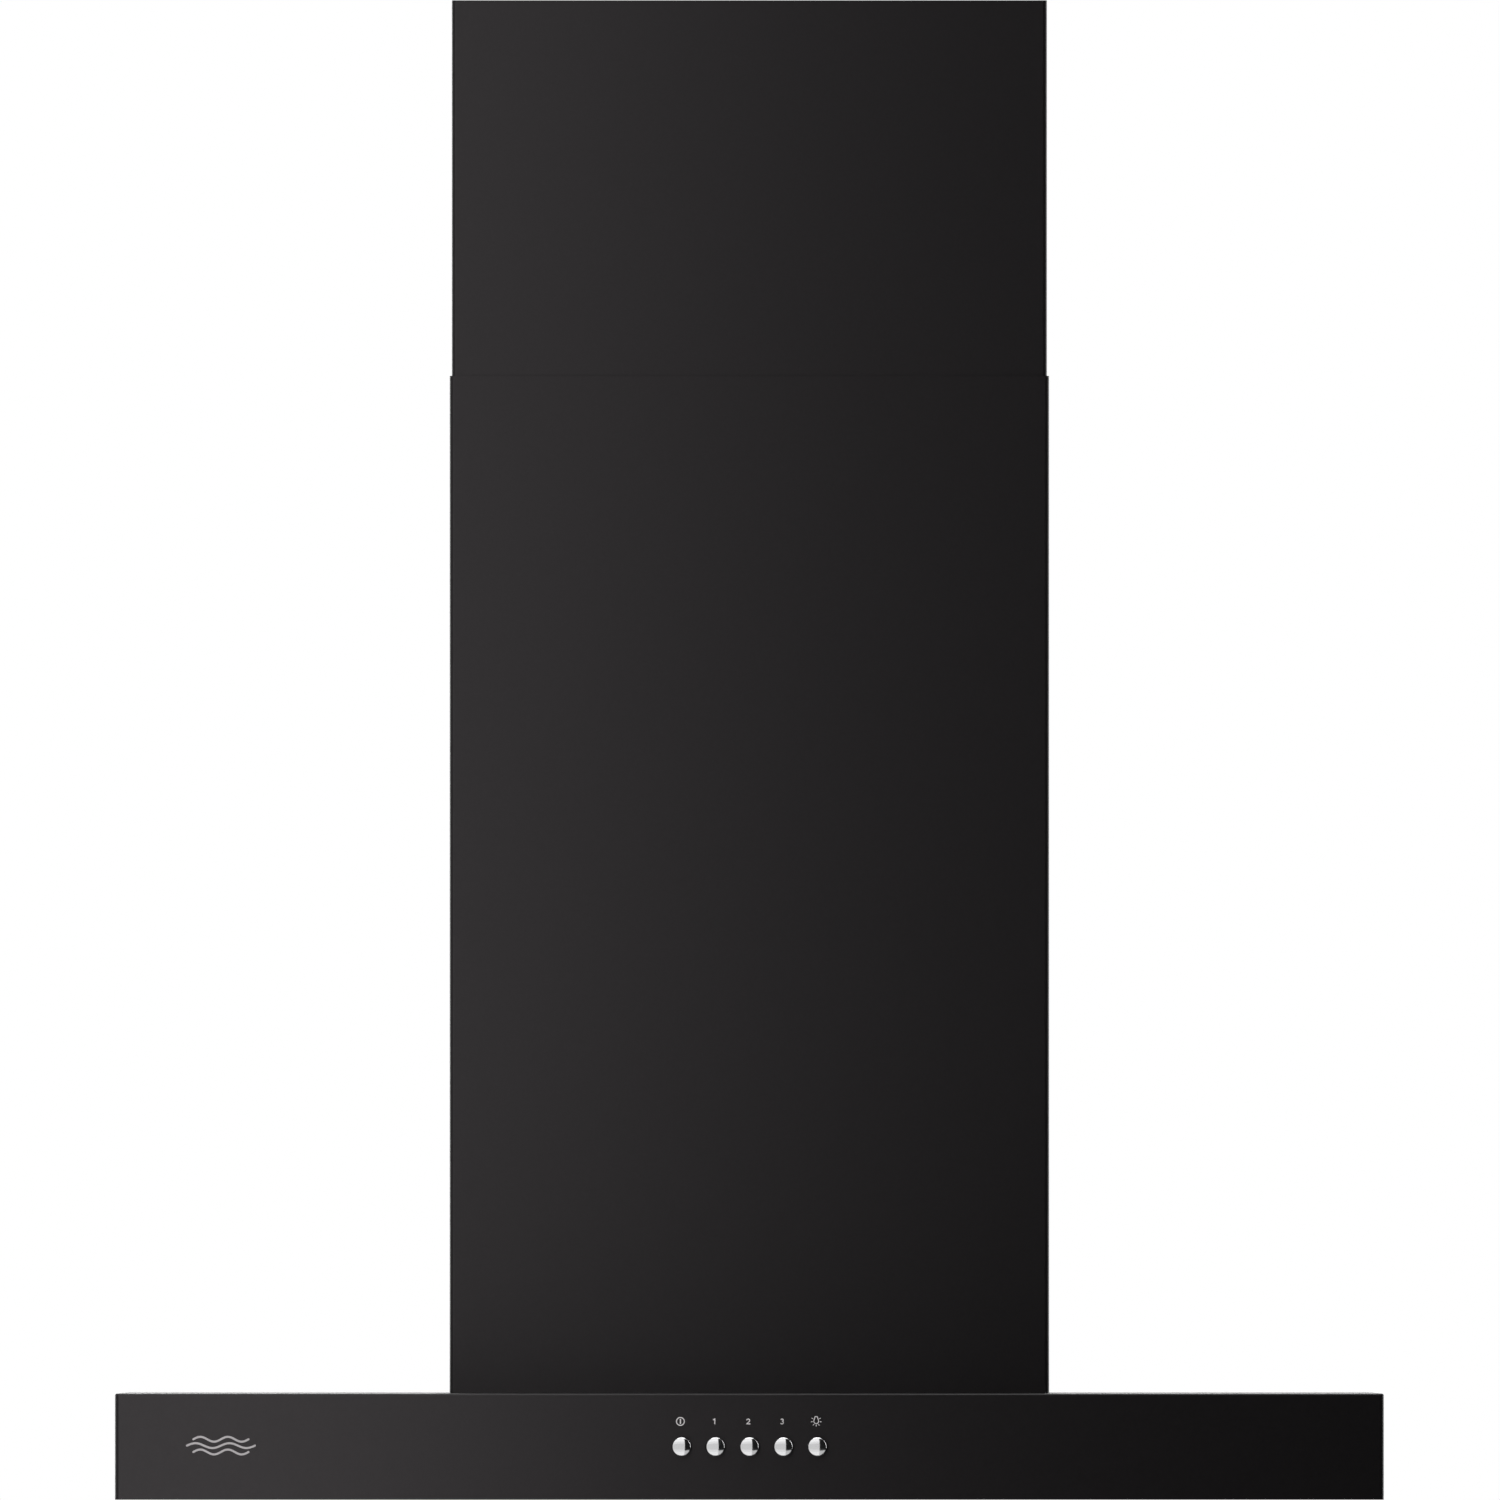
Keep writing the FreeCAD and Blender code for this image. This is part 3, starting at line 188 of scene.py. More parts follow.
def chrome(name, color):
    """Polished plate with the faintest polishing swirl."""
    s = Shader(name, color, metallic=1.0, roughness=0.10)
    s.link(s.spread(s.noise(240.0, 4.0), 0.08, 0.13), "Roughness")
    s.clouded(s.noise(160.0, 2.0), color, 0.97)
    s.bump(s.noise(500.0, 2.0), 0.04, 0.00002)
    return s.material


def cast(name, color):
    """Die-cast or sand-blasted aluminium."""
    s = Shader(name, color, metallic=1.0, roughness=0.5)
    s.clouded(s.noise(120.0, 5.0), color, 0.75)
    s.link(s.spread(s.noise(300.0, 3.0), 0.42, 0.62), "Roughness")
    s.bump(s.noise(1100.0, 3.0), 0.35, 0.00008)
    return s.material


def frosted(name):
    """Frosted lamp glass with a fine satin surface."""
    s = Shader(name, (0.93, 0.94, 0.92), roughness=0.34, Transmission_Weight=0.55, IOR=1.5)
    s.link(s.spread(s.noise(500.0, 3.0), 0.28, 0.40), "Roughness")
    s.link(s.between(s.noise(60.0, 2.0), (0.88, 0.89, 0.87), (0.95, 0.96, 0.94)), "Base Color")
    s.bump(s.noise(2200.0, 2.0), 0.12, 0.00003)
    return s.material


def ink(name, color):
    """Screen-printed ink."""
    s = Shader(name, color, roughness=0.55)
    s.clouded(s.noise(900.0, 4.0), color, 0.90)
    s.link(s.spread(s.noise(1500.0, 2.0), 0.48, 0.62), "Roughness")
    s.bump(s.noise(3000.0, 2.0), 0.10, 0.00002)
    return s.material


# slot: (the kind of finish, then what it takes after its name)
FINISHES = {
    "satin_black_lacquer": (lacquer, (0.0088, 0.0083, 0.0086), (0.0106, 0.0100, 0.0104)),
    "black_screws": (lacquer, (0.016, 0.016, 0.016), (0.022, 0.022, 0.022), 0.28, 0.40),
    "zinc_plated_steel": (zinc, (0.60, 0.60, 0.59)),
    "galvanised_sheet": (zinc, (0.58, 0.59, 0.60), 0.24, 0.42, 160.0),
    "zinc_screws": (brushed, (0.64, 0.63, 0.58), (0, 0, 1), 0.20, 0.34),
    "chrome_caps": (chrome, (0.90, 0.90, 0.91)),
    "spring_steel": (brushed, (0.50, 0.50, 0.50), (0, 1, 0), 0.22, 0.36),
    "black_plastic": (plastic, (0.020, 0.020, 0.021)),
    "grey_plastic": (plastic, (0.075, 0.078, 0.082)),
    "white_plastic": (plastic, (0.72, 0.71, 0.67)),
    "filter_aluminium": (brushed, (0.74, 0.74, 0.75), (0, 1, 0), 0.26, 0.40),
    "lamp_bezel": (brushed, (0.70, 0.70, 0.71), (1, 0, 0), 0.18, 0.30),
    "frosted_lens": (frosted,),
    "cast_aluminium": (cast, (0.56, 0.56, 0.57)),
    "motor_steel": (lacquer, (0.020, 0.021, 0.024), (0.028, 0.029, 0.033), 0.35, 0.50),
    "ground_steel": (brushed, (0.60, 0.60, 0.60), (0, 1, 1), 0.14, 0.26),
    "printed_ink": (ink, (0.46, 0.46, 0.46)),
}
MATERIALS = {slot: kind(slot, *values) for slot, (kind, *values) in FINISHES.items()}

for part in frame["record"]["subparts"]:
    data = NODES[part["node"]].data
    data.materials.clear()
    data.materials.append(MATERIALS[part["material_slot"]])


# ---- mesh helpers ---------------------------------------------------------------------------
CAP_STEPS = 5           # steps round the end of a pen stroke


def make_piece(name, bm, slot, body, smooth_angle=35.0):
    """Turns a bmesh into a piece that rides on a CAD body with a slot's material.

    Edges that bend less than smooth_angle degrees are shaded smooth.
    """
    bmesh.ops.recalc_face_normals(bm, faces=bm.faces)
    mesh = bpy.data.meshes.new(name)
    bm.to_mesh(mesh)
    bm.free()
    mesh.materials.append(MATERIALS[slot])
    obj = bpy.data.objects.new(name, mesh)
    bpy.context.scene.collection.objects.link(obj)
    mesh.polygons.foreach_set("use_smooth", [True] * len(mesh.polygons))
    mesh.set_sharp_from_angle(angle=math.radians(smooth_angle))
    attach(obj, body)
    return obj


def prism(bm, outline, to_world, thickness):
    """Extrudes a flat outline. to_world(u, v, depth) places each point."""
    front = [bm.verts.new(to_world(u, v, 0.0)) for u, v in outline]
    back = [bm.verts.new(to_world(u, v, thickness)) for u, v in outline]
    count = len(outline)
    bm.faces.new(front)
    bm.faces.new(list(reversed(back)))
    for k in range(count):
        n = (k + 1) % count
        bm.faces.new([front[k], back[k], back[n], front[n]])


def offset_side(points, distance):
    """The line of points moved sideways, with mitred corners."""
    moved = []
    for k, p in enumerate(points):
        before = points[k - 1] if k else None
        after = points[k + 1] if k + 1 < len(points) else None
        pairs = ((before, p), (p, after))
        ways = [(b - a).normalized() for a, b in pairs if a is not None and b is not None]
        way = sum(ways, Vector((0, 0))).normalized()
        mitre = 1.0 / max(way.dot(ways[0]), 0.5)
        moved.append(p + Vector((-way.y, way.x)) * distance * mitre)
    return moved


def stroke(points, width):
    """Outline of a pen stroke with round ends."""
    points = [Vector(p) for p in points]
    left, right = offset_side(points, width / 2), offset_side(points, -width / 2)

    def cap(centre, start):
        arm = start - centre
        turned = []
        for k in range(1, CAP_STEPS):
            turned.append(centre + Matrix.Rotation(-math.pi * k / CAP_STEPS, 2) @ arm)
        return turned

    return left + cap(points[-1], left[-1]) + right[::-1] + cap(points[0], right[0])


def arc(centre, radius, start, end, steps):
    """Points along an arc, in degrees."""
    angles = [math.radians(start + (end - start) * k / steps) for k in range(steps + 1)]
    return [(centre[0] + radius * math.cos(a), centre[1] + radius * math.sin(a)) for a in angles]


# ---- print on the canopy's front ------------------------------------------------------------
ICON_Z = 36.9           # icon millimetres over the canopy's lower edge
ICON_SHIFT = -0.5       # sideways from each button's middle
PEN = 0.47              # width of the digits' strokes
RAY_PEN = 0.36          # width of the lamp's rays
POWER_R = 2.08          # the power sign's outer radius
MARK_X, MARK_Z = -249.0, 25.5
MARK_PEN = 0.95
INK_T = 0.05 * MM


def on_front(x, z, lift=0.0):
    """Places icon millimetres on the canopy's front, proud by the ink's thickness plus lift."""
    def to_world(u, v, depth):
        y = FRONT_Y - INK_T - lift + depth * (1.0 + lift / INK_T)
        return Vector(((x + u) * MM, y, BOTTOM_Z + (z + v) * MM))
    return to_world


def ring_between(bm, outer, inner, to_world):
    """A flat band between two outlines of the same count, with the ink's thickness."""
    loops = [[bm.verts.new(to_world(u, v, depth)) for u, v in line]
             for line, depth in ((outer, 0.0), (inner, 0.0), (inner, INK_T), (outer, INK_T))]
    count = len(outer)
    for a, b in ((0, 1), (1, 2), (2, 3), (3, 0)):
        for k in range(count):
            n = (k + 1) % count
            bm.faces.new([loops[a][k], loops[a][n], loops[b][n], loops[b][k]])


def closed_stroke(points, width):
    """Outer and inner outlines of a pen stroke round a closed line."""
    points = [Vector(p) for p in points]
    count = len(points)
    sides = []
    for distance in (width / 2, -width / 2):
        line = []
        for k, p in enumerate(points):
            into = (p - points[k - 1]).normalized()
            out = (points[(k + 1) % count] - p).normalized()
            way = (into + out).normalized()
            line.append(p + Vector((-way.y, way.x)) * distance / max(way.dot(into), 0.6))
        sides.append(line)
    return sides


def printed_icons():
    """Power sign, the digits 1 to 3 and a lamp, each over its button."""
    bm = bmesh.new()
    xs = [(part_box(name)[0].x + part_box(name)[1].x) / 2 / MM + ICON_SHIFT for name in BUTTONS]

    at = on_front(xs[0], ICON_Z)
    ring_between(bm, arc((0, 0), POWER_R, 0, 354, 59), arc((0, 0), POWER_R - PEN, 0, 354, 59), at)
    prism(bm, stroke([(0, -0.95), (0, 0.95)], 0.58), at, INK_T)

    digits = [
        [[(-0.50, 0.72), (0.20, 1.14), (0.20, -1.14)]],
        [arc((-0.04, 0.46), 0.70, 160, -36, 14) + [(-0.72, -1.14), (0.78, -1.14)]],
        [arc((-0.10, 0.58), 0.56, 145, -72, 12), arc((-0.14, -0.50), 0.66, 76, -145, 14)],
    ]
    for x, lines in zip(xs[1:4], digits):
        for k, line in enumerate(lines):
            prism(bm, stroke(line, PEN), on_front(x, ICON_Z, 0.3 * INK_T * k), INK_T)

    at = on_front(xs[4], ICON_Z)
    bulb = arc((0, 0.12), 1.14, 156, 384, 26) + [(0.52, 2.25), (-0.52, 2.25)]
    outer, inner = closed_stroke(bulb, 0.40)
    ring_between(bm, outer, inner, at)
    rays = (((1.60, 1.30), (2.02, 1.54)), ((1.80, -0.13), (2.34, -0.18)),
            ((1.08, -1.38), (1.44, -1.74)))
    for start, end in rays:
        for side in (-1, 1):
            ray = [(side * start[0], start[1]), (side * end[0], end[1])]
            prism(bm, stroke(ray, RAY_PEN), at, INK_T)
    prism(bm, stroke([(0, -1.66), (0, -2.26)], RAY_PEN), at, INK_T)
    return make_piece("printed_icons", bm, "printed_ink", "hood")


def printed_mark():
    """Three wavy lines, a plain decoration at the left end of the front."""
    bm = bmesh.new()
    at = on_front(MARK_X, MARK_Z)
    steps, waves, height = 40, 2, 1.15
    for row, length in ((3.0, 26.0), (0.0, 32.0), (-3.0, 26.0)):
        wave = []
        for k in range(steps + 1):
            u = -length / 2 + length * k / steps
            wave.append((u, row + height * math.sin(2 * math.pi * k / (steps / waves))))
        prism(bm, stroke(wave, MARK_PEN), at, INK_T)
    make_piece("printed_air_mark", bm, "printed_ink", "hood")


ICONS = printed_icons()
printed_mark()


# ---- grease filters -------------------------------------------------------------------------
STRAND_TWIST = 0.8      # how far a strand's edges tip up and down, in half thicknesses
STRAND_ANGLE = 60       # bends under this many degrees are shaded smooth
FINE_PITCH = (9 * MM, 5 * MM)
COARSE_PITCH = (14 * MM, 8 * MM)
SHEET_INSET = 0.45 * MM
PLEAT_PITCH, PLEAT_HEIGHT = 12.0 * MM, 1.6 * MM


def pleat(x, _):
    """A zigzag between minus and plus the pleats' height."""
    share = (x % PLEAT_PITCH) / PLEAT_PITCH
    return PLEAT_HEIGHT * (abs(4.0 * share - 2.0) - 1.0)


def expanded_mesh(bm, low, high, z, pitch, strand, thick, lift=None):
    """A diamond lattice sheet from low to high (x, y), each strand a thin twisted bar.

    pitch is a diamond's size along x and y, strand and thick are a bar's width and
    thickness, and lift(x, y) raises the sheet over z.
    """
    half_u, half_v = pitch[0] / 2, pitch[1] / 2
    cols = int((high[0] - low[0]) / half_u)
    rows = int((high[1] - low[1]) / half_v)
    u0 = (low[0] + high[0]) / 2 - cols * half_u / 2
    v0 = (low[1] + high[1]) / 2 - rows * half_v / 2

    def point(i, j):
        x, y = u0 + i * half_u, v0 + j * half_v
        return Vector((x, y, z + (lift(x, y) if lift else 0.0)))

    for i in range(cols):
        for j in range(rows):
            rising = (i + j) % 2 == 0
            a = point(i, j) if rising else point(i, j + 1)
            b = point(i + 1, j + 1) if rising else point(i + 1, j)
            way = (b - a).normalized()
            side = Vector((-way.y, way.x, 0.0)) * strand / 2
            up = Vector((0, 0, thick / 2))
            twist = up * STRAND_TWIST
            ends = []
            for p in (a, b):
                ends.append([bm.verts.new(p + side * s + up * t + twist * s) for s, t in
                             ((-1, -1), (1, -1), (1, 1), (-1, 1))])
            for k in range(4):
                n = (k + 1) % 4
                bm.faces.new([ends[0][k], ends[0][n], ends[1][n], ends[1][k]])
            bm.faces.new(ends[0])
            bm.faces.new(ends[1][::-1])


def filter_layers(side):
    """The lower mesh sheet, a pleated inner layer and the upper sheet of one filter."""
    low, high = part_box("filter_mesh_" + side)
    latch_low, latch_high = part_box("latch_housing_" + side)

    def without_latch(bm):
        """Drops the strands inside the notch round the latch."""
        gone = [v for v in bm.verts
                if latch_low.x < v.co.x < latch_high.x and v.co.y < latch_high.y]
        gone_faces = {f for v in gone for f in v.link_faces}
        bmesh.ops.delete(bm, geom=list(gone_faces), context="FACES")
        loose = [v for v in bm.verts if not v.link_faces]
        bmesh.ops.delete(bm, geom=loose, context="VERTS")

    layers = (
        ("filter_lower_sheet_", low.z + SHEET_INSET, FINE_PITCH, 0.9 * MM, 0.45 * MM, None),
        ("filter_pleated_layer_", (low.z + high.z) / 2, COARSE_PITCH, 1.3 * MM, 0.4 * MM, pleat),
        ("filter_upper_sheet_", high.z - SHEET_INSET, COARSE_PITCH, 1.2 * MM, 0.45 * MM, None),
    )
    for name, z, pitch, strand, thick, lift in layers:
        bm = bmesh.new()
        expanded_mesh(bm, low, high, z, pitch, strand, thick, lift)
        without_latch(bm)
        piece = make_piece(name + side, bm, "filter_aluminium", "filter_" + side, STRAND_ANGLE)
        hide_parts("filter_mesh_" + side)


for side in SIDES:
    filter_layers(side)


# ---- lamps, cable grommet, button springs ----------------------------------------------------
def islands(node):
    """The box of each separate solid in a CAD node, as (lowest corner, highest corner)."""
    bm = bmesh.new()
    bm.from_mesh(NODES[node].data)
    bmesh.ops.remove_doubles(bm, verts=bm.verts, dist=1e-6)
    left, boxes = set(bm.verts), []
    while left:
        found, edge = set(), [left.pop()]
        while edge:
            v = edge.pop()
            found.add(v)
            for e in v.link_edges:
                other = e.other_vert(v)
                if other in left:
                    left.remove(other)
                    edge.append(other)
        corners = [tuple(pick(v.co[k] for v in found) for k in range(3)) for pick in (min, max)]
        boxes.append((Vector(corners[0]), Vector(corners[1])))
    bm.free()
    return sorted(boxes, key=lambda b: tuple(b[0]))


def lathe(bm, centre, profile, steps):
    """Turns a closed profile of (radius, z) round a vertical axis, closing it at radius 0."""
    loops = []
    for radius, z in profile:
        if radius == 0.0:
            loops.append([bm.verts.new((centre.x, centre.y, z))])
            continue
        loop = []
        for angle in (2 * math.pi * k / steps for k in range(steps)):
            x, y = centre.x + radius * math.cos(angle), centre.y + radius * math.sin(angle)
            loop.append(bm.verts.new((x, y, z)))
        loops.append(loop)
    for a, b in zip(loops, loops[1:] + loops[:1]):
        if len(a) == 1 and len(b) == 1:
            continue
        for k in range(steps):
            n = (k + 1) % steps
            corners = [a[k % len(a)], a[n % len(a)], b[n % len(b)], b[k % len(b)]]
            unique = [v for i, v in enumerate(corners) if v not in corners[:i]]
            bm.faces.new(unique)


def lamp_lenses():
    """Pressed glass lenses: a plain rim, concentric rings and a flat middle on the lower face."""
    bm = bmesh.new()
    rings, flat_share, rings_share = 7, 0.20, 0.66
    half_crest, half_valley, bevel = 0.5 * MM, 0.15 * MM, 0.2 * MM
    for low, high in islands("lamp_lenses"):
        radius = (high.x - low.x) / 2
        crest_z, valley_z = low.z + 0.08 * MM, low.z + 0.5 * MM
        profile = [(0.0, valley_z), (radius * flat_share, valley_z)]
        for k in range(rings):
            inner = radius * (flat_share + rings_share * k / rings)
            outer = radius * (flat_share + rings_share * (k + 1) / rings)
            crest = (inner + outer) / 2
            profile += [(inner + half_valley, valley_z), (crest - half_crest, crest_z),
                        (crest + half_crest, crest_z), (outer - half_valley, valley_z)]
        profile += [(radius * 0.88, low.z + 0.1 * MM), (radius * 0.90, low.z),
                    (radius - bevel, low.z), (radius, low.z + bevel),
                    (radius, high.z), (0.0, high.z)]
        lathe(bm, (low + high) / 2, profile, 64)
    piece = make_piece("lamp_ring_lenses", bm, "frosted_lens", "hood", 40)
    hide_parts("lamp_lenses")


def lamp_bezels():
    """Turned bezels: a flange with a rounded rim and sloped lip, and a sleeve through the pan."""
    bm = bmesh.new()
    flange, rim, lip, outer_r, bore_r = 1.6 * MM, 0.7 * MM, 0.5 * MM, 32.0 * MM, 25.0 * MM
    sleeve_in, sleeve_out = 26.0 * MM, 27.8 * MM
    for low, high in islands("lamp_bezels"):
        corner = [(outer_r - rim + rim * math.sin(a), low.z + rim - rim * math.cos(a))
                  for a in (math.radians(15.0 * k) for k in range(7))]
        profile = [(bore_r, low.z + lip), (bore_r + lip, low.z)] + corner
        profile += [(outer_r, low.z + flange), (sleeve_out, low.z + flange), (sleeve_out, high.z),
                    (sleeve_in, high.z), (sleeve_in, low.z + flange), (bore_r, low.z + flange)]
        lathe(bm, (low + high) / 2, profile, 128)
    piece = make_piece("lamp_bezel_rings", bm, "lamp_bezel", "hood", 40)
    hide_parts("lamp_bezels")


def cable_grommet():
    """Black grommet in the ceiling plate's cable hole, with a wide lip under the plate."""
    hole_y, hole_r, plate_t = 108.0 * MM, 10.0 * MM, 2.0 * MM
    groove_gap, face_gap = 0.35 * MM, 0.05 * MM     # free of the hole's edge and the plate's faces
    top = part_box("ceiling_plate")[1].z
    under = top - plate_t
    bm = bmesh.new()
    profile = [(hole_r - 3.2 * MM, under - 1.6 * MM), (hole_r - 2.4 * MM, under - 2.4 * MM),
               (hole_r + 1.2 * MM, under - 2.4 * MM), (hole_r + 2.0 * MM, under - 1.6 * MM),
               (hole_r + 2.0 * MM, under - face_gap), (hole_r - groove_gap, under - face_gap),
               (hole_r - groove_gap, top - face_gap), (hole_r - 2.8 * MM, top - face_gap),
               (hole_r - 3.4 * MM, top - 0.8 * MM)]
    lathe(bm, Vector((0.0, hole_y, 0.0)), profile, 48)
    make_piece("cable_grommet", bm, "black_plastic", "ceiling_frame", 40)


def coil_spring(bm, start, length, coil_r, wire_r, turns):
    """A compression spring of round wire along +Y from start, its first and last turns closed."""
    steps, sides = 24, 8
    closed = 2.0 * wire_r
    pitch = (length - 2.0 * closed) / (turns - 2)
    rings = []
    for k in range(turns * steps + 1):
        turn = k / steps
        angle = 2 * math.pi * turn
        open_turns = min(max(turn - 1.0, 0.0), turns - 2)
        rise = closed * min(turn, 1.0) + pitch * open_turns + closed * max(turn - turns + 1, 0.0)
        ring = []
        for b in (2 * math.pi * n / sides for n in range(sides)):
            reach, along = coil_r + wire_r * math.cos(b), rise + wire_r * math.sin(b)
            point = Vector((reach * math.cos(angle), along, reach * math.sin(angle)))
            ring.append(bm.verts.new(start + point))
        rings.append(ring)
    for a, b in zip(rings, rings[1:]):
        for n in range(sides):
            m = (n + 1) % sides
            bm.faces.new([a[n], a[m], b[m], b[n]])
    bm.faces.new(rings[0])
    bm.faces.new(rings[-1][::-1])


def button_springs():
    """One spring behind each button."""
    wire_r, coil_r, turns = 0.3 * MM, 3.0 * MM, 8
    low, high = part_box("button_springs")
    for name in BUTTONS:
        button_low, button_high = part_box(name)
        middle = (button_low + button_high) / 2
        spring_name = name.replace("button_", "button_spring_")
        start = Vector((middle.x, low.y + wire_r, middle.z))
        bm = bmesh.new()
        coil_spring(bm, start, high.y - low.y - 2 * wire_r, coil_r, wire_r, turns)
        piece = make_piece(spring_name, bm, "spring_steel", "hood", 60)
        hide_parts("button_springs")
        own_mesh(piece)


lamp_lenses()
lamp_bezels()
cable_grommet()
button_springs()


# ---- stage, camera and light ----------------------------------------------------------------
FLOOR_RADIUS = 6.0
FLOOR_DROP = 0.75
FLOOR_FADE = (1.2, 5.5)     # radii between which the floor fades out
FLOOR_GREY = 0.30           # what the floor throws back
FLOOR_GLOW = 0.72           # what the camera sees of it on top of that
FILL_LIGHT = 0.01           # the world's own light
FRAME_WIDTH = 0.70686       # what the photo's width spans at the canopy's front
FRAME_X, FRAME_Z = 0.0003, BOTTOM_Z + 0.3533
CAMERA_Z = BOTTOM_Z + 0.085


def stage_floor():
    """A wide pale disc well below the hood, clear from beneath, that fades out far away."""
    bm = bmesh.new()
    bmesh.ops.create_circle(bm, cap_ends=True, segments=96, radius=FLOOR_RADIUS)
    mesh = bpy.data.meshes.new("floor")
    bm.to_mesh(mesh)
    bm.free()
    floor = bpy.data.objects.new("floor", mesh)
    floor.location = (0, 0, BOTTOM_Z - FLOOR_DROP)
    bpy.context.scene.collection.objects.link(floor)
    s = Shader("studio_floor", (FLOOR_GREY,) * 3, roughness=0.9, Emission_Color=(1, 1, 1, 1))
    seen = s.add("ShaderNodeLightPath").outputs["Is Camera Ray"]
    glow = s.add("ShaderNodeMath", {0: seen, 1: FLOOR_GLOW}, operation="MULTIPLY")
    s.link(glow.outputs[0], "Emission Strength")
    clear = s.add("ShaderNodeBsdfTransparent")
    beneath = s.add("ShaderNodeNewGeometry").outputs["Backfacing"]
    far = s.add("ShaderNodeVectorMath", {0: s.place}, operation="LENGTH").outputs["Value"]
    fade = s.spread(far, 0.0, 1.0, FLOOR_FADE)
    gone = s.add("ShaderNodeMath", {0: fade, 1: beneath}, operation="MAXIMUM").outputs[0]
    mix = s.add("ShaderNodeMixShader", {0: gone, 1: s.bsdf.outputs[0], 2: clear.outputs[0]})
    out = s.tree.nodes["Material Output"]
    s.tree.links.new(mix.outputs[0], out.inputs["Surface"])
    mesh.materials.append(s.material)
    return floor


def studio_world():
    """White to the camera, and a dim even grey for everything that the light reaches."""
    world = bpy.data.worlds.new("studio")
    bpy.context.scene.world = world
    world.use_nodes = True
    tree = world.node_tree
    tree.nodes.clear()
    out = tree.nodes.new("ShaderNodeOutputWorld")
    seen = tree.nodes.new("ShaderNodeBackground")
    lit = tree.nodes.new("ShaderNodeBackground")
    seen.inputs["Color"].default_value = (1, 1, 1, 1)
    lit.inputs["Color"].default_value = (0.97, 0.98, 1.0, 1)
    lit.inputs["Strength"].default_value = FILL_LIGHT
    path = tree.nodes.new("ShaderNodeLightPath")
    mix = tree.nodes.new("ShaderNodeMixShader")
    tree.links.new(path.outputs["Is Camera Ray"], mix.inputs[0])
    tree.links.new(lit.outputs[0], mix.inputs[1])
    tree.links.new(seen.outputs[0], mix.inputs[2])
    tree.links.new(mix.outputs[0], out.inputs["Surface"])


def area_light(name, position, target, size, power, linking=None, color=(1, 1, 1)):
    """A soft rectangular light, aimed at a point and unseen by the camera."""
    data = bpy.data.lights.new(name, "AREA")
    data.shape = "RECTANGLE"
    data.size, data.size_y = size
    data.energy = power
    data.color = color
    light = bpy.data.objects.new(name, data)
    light.location = position
    aim = Vector(target) - Vector(position)
    light.rotation_euler = aim.to_track_quat("-Z", "Y").to_euler()
    light.visible_camera = False
    light.light_linking.receiver_collection = linking
    bpy.context.scene.collection.objects.link(light)


def front_panel(name, x0, x1, z0, z1, brightness, linking, color=(1, 1, 1)):
    """A flat softbox before the hood, from x0 to x1 and z0 to z1, with that brightness all over."""
    middle = ((x0 + x1) / 2, SCREEN_Y, (z0 + z1) / 2)
    size = (x1 - x0, z1 - z0)
    power = 4.0 * size[0] * size[1] * brightness        # an area light's own brightness, in watts
    area_light(name, middle, (middle[0], 0.0, middle[2]), size, power, linking, color)


def light_group(name, members, state="INCLUDE"):
    """The objects that a light falls on, or with EXCLUDE those that it doesn't."""
    group = bpy.data.collections.new(name)
    for member in members:
        group.objects.link(member)
    for entry in group.collection_objects:
        entry.light_linking.link_state = state
    return group


def studio_camera():
    """Very long lens from just over the canopy's top, framed as the photo is."""
    camera_data = bpy.data.cameras.new("camera")
    camera_data.lens, camera_data.sensor_width = 1500.0, 36.0
    camera_data.clip_start, camera_data.clip_end = 1.0, 60.0
    distance = FRAME_WIDTH * camera_data.lens / camera_data.sensor_width
    camera = bpy.data.objects.new("camera", camera_data)
    middle = Vector((FRAME_X, FRONT_Y, FRAME_Z))
    camera.location = (FRAME_X, FRONT_Y - distance, CAMERA_Z)
    camera.rotation_euler = (middle - camera.location).to_track_quat("-Z", "Y").to_euler()
    bpy.context.scene.collection.objects.link(camera)
    bpy.context.scene.camera = camera


FLOOR = stage_floor()
studio_world()
studio_camera()

# What each light falls on
CAPS = [NODES[name] for name in BUTTONS]
PLATE = NODES["ceiling_plate"]
BRIGHT = light_group("caps_and_icons", CAPS + [ICONS])
SATIN = light_group("all_but_caps_and_floor", CAPS + [FLOOR], "EXCLUDE")
HOOD = light_group("all_but_floor", [FLOOR], "EXCLUDE")
BELOW_TOP = light_group("all_but_floor_and_ceiling_plate", [PLATE, FLOOR], "EXCLUDE")

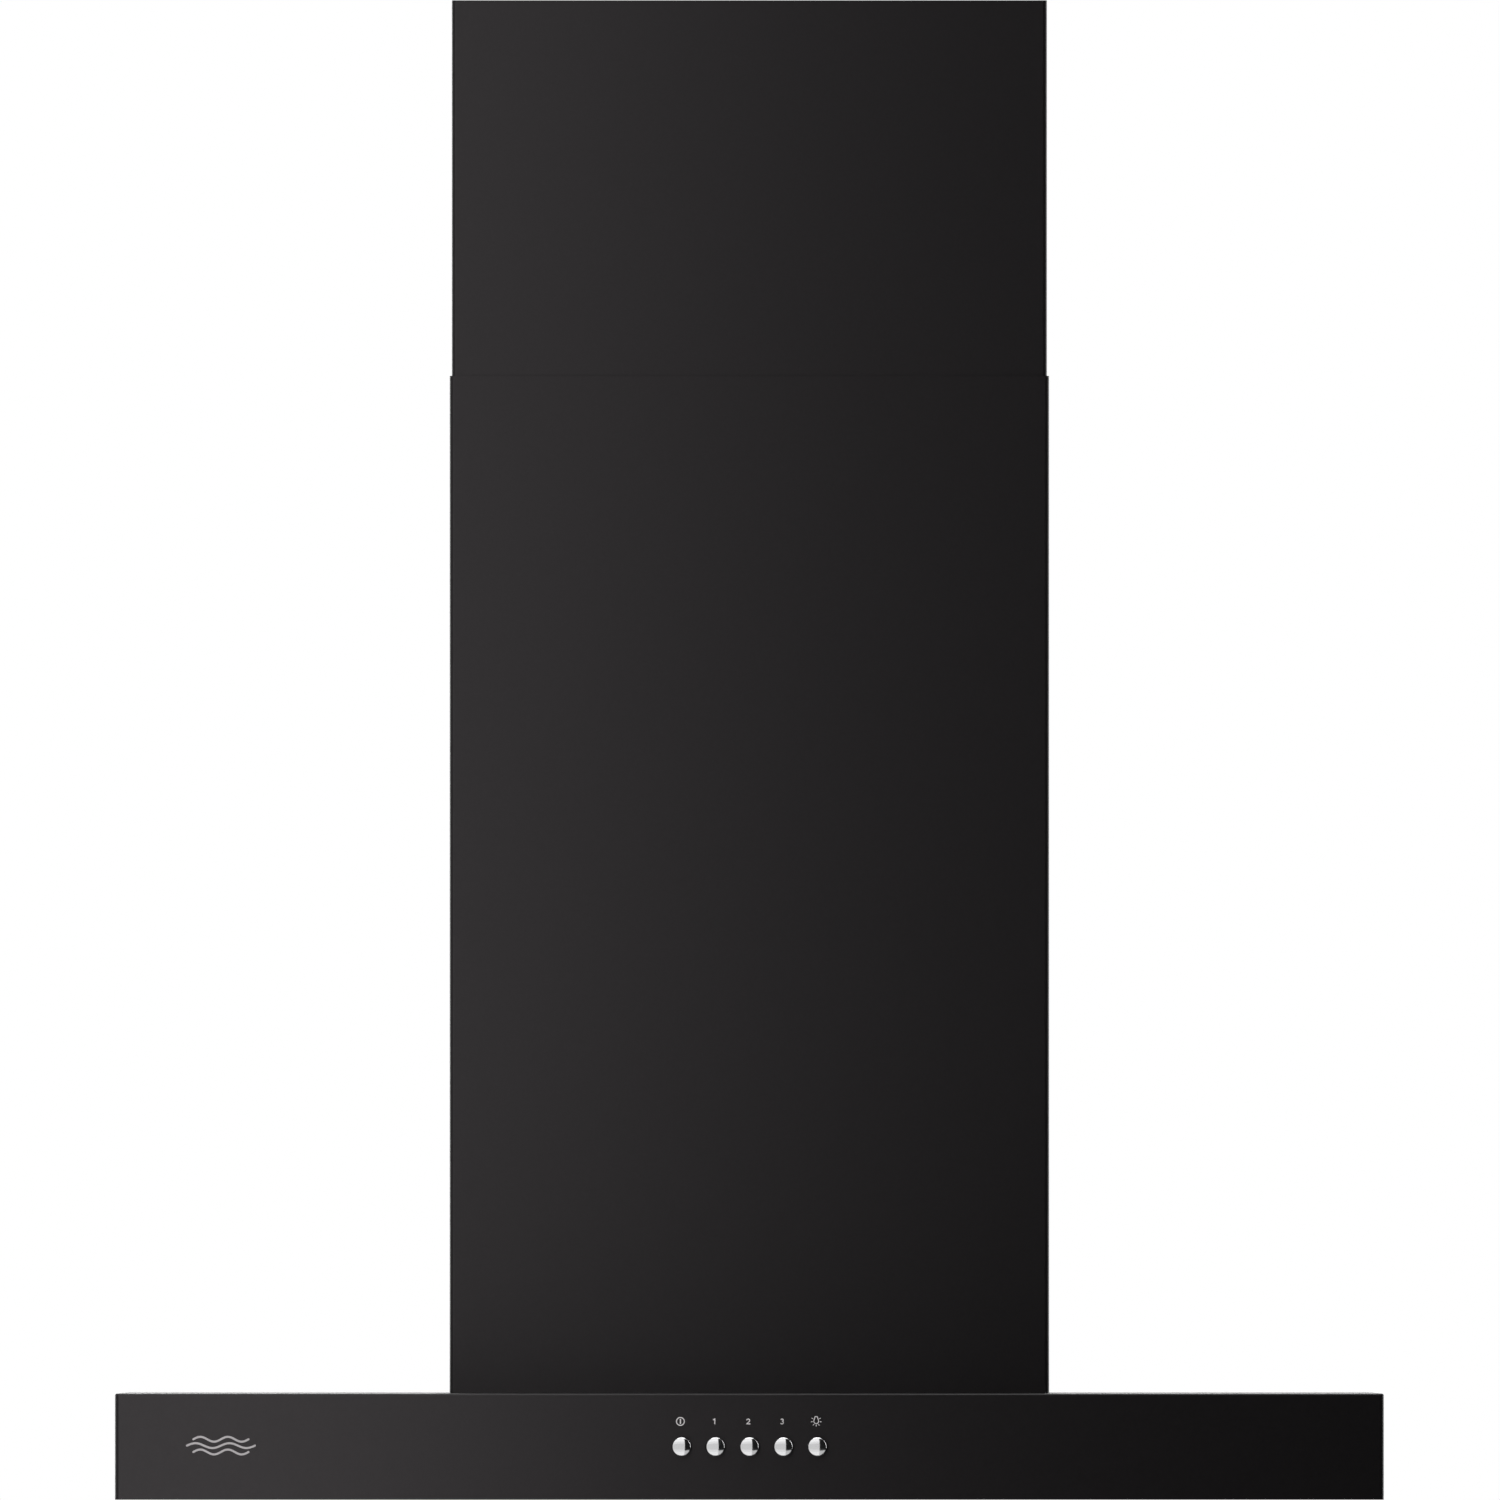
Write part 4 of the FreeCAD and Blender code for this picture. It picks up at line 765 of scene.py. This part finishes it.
# Panels that the front mirrors: name, x from and to, z from and to, brightness
SCREEN_Y = FRONT_Y - 0.60
WARM = (1.0, 0.94, 0.965)
front_panel("edge_panel", -1.60, -0.45, -1.45, 0.75, 0.35, SATIN, WARM)
front_panel("left_panel", -0.45, -0.15, -1.45, 0.75, 2.12, SATIN, WARM)
front_panel("centre_panel", -0.15, 0.00, -0.75, 0.75, 0.66, SATIN, WARM)
CAP_BAND_EDGES = (-1.60, -1.02, -0.86, -0.50, -0.36, 0.60)
CAP_BAND_LEVELS = (0.64, 0.56, 0.49, 0.62, 0.76)
for low_z, high_z, level in zip(CAP_BAND_EDGES, CAP_BAND_EDGES[1:], CAP_BAND_LEVELS):
    front_panel("cap_panel", -1.30, 0.17, low_z, high_z, level, BRIGHT)
front_panel("cap_corner", 0.17, 0.75, -1.60, -0.93, 0.36, BRIGHT)

# Softboxes all round: name, place, aim, size, watts, what it falls on
SIDE_Z = BOTTOM_Z + 0.15
RIM_Z = BOTTOM_Z + 0.60
LOW_Z = BOTTOM_Z - 0.70
area_light("cap_rim", (1.5, -0.45, RIM_Z), (0.0, -0.3, RIM_Z), (0.5, 1.6), 8, BRIGHT)
area_light("top_softbox", (0.0, 0.1, 1.5), (0.0, 0.0, -0.5), (2.2, 2.2), 22)
area_light("top_edge_softbox", (0.0, -0.2, 1.5), (0.0, -0.2, -0.5), (2.2, 1.8), 26, BELOW_TOP)
area_light("sky_softbox", (0.0, 0.1, 2.4), (0.0, 0.1, 0.0), (6.0, 6.0), 26)
area_light("right_softbox", (2.0, 1.1, SIDE_Z), (0.0, 0.0, SIDE_Z), (2.4, 1.6), 40, HOOD)
area_light("left_softbox", (-2.0, 0.9, SIDE_Z), (0.0, 0.0, SIDE_Z), (2.4, 1.6), 34, HOOD)
area_light("rear_softbox", (-0.9, 2.4, SIDE_Z), (0.0, 0.0, SIDE_Z), (3.0, 1.6), 45, HOOD)
area_light("under_softbox", (0.0, 0.25, LOW_Z), (0.0, 0.25, 0.0), (1.6, 1.2), 5.5, HOOD)
bpy.context.scene.view_settings.view_transform = "Standard"
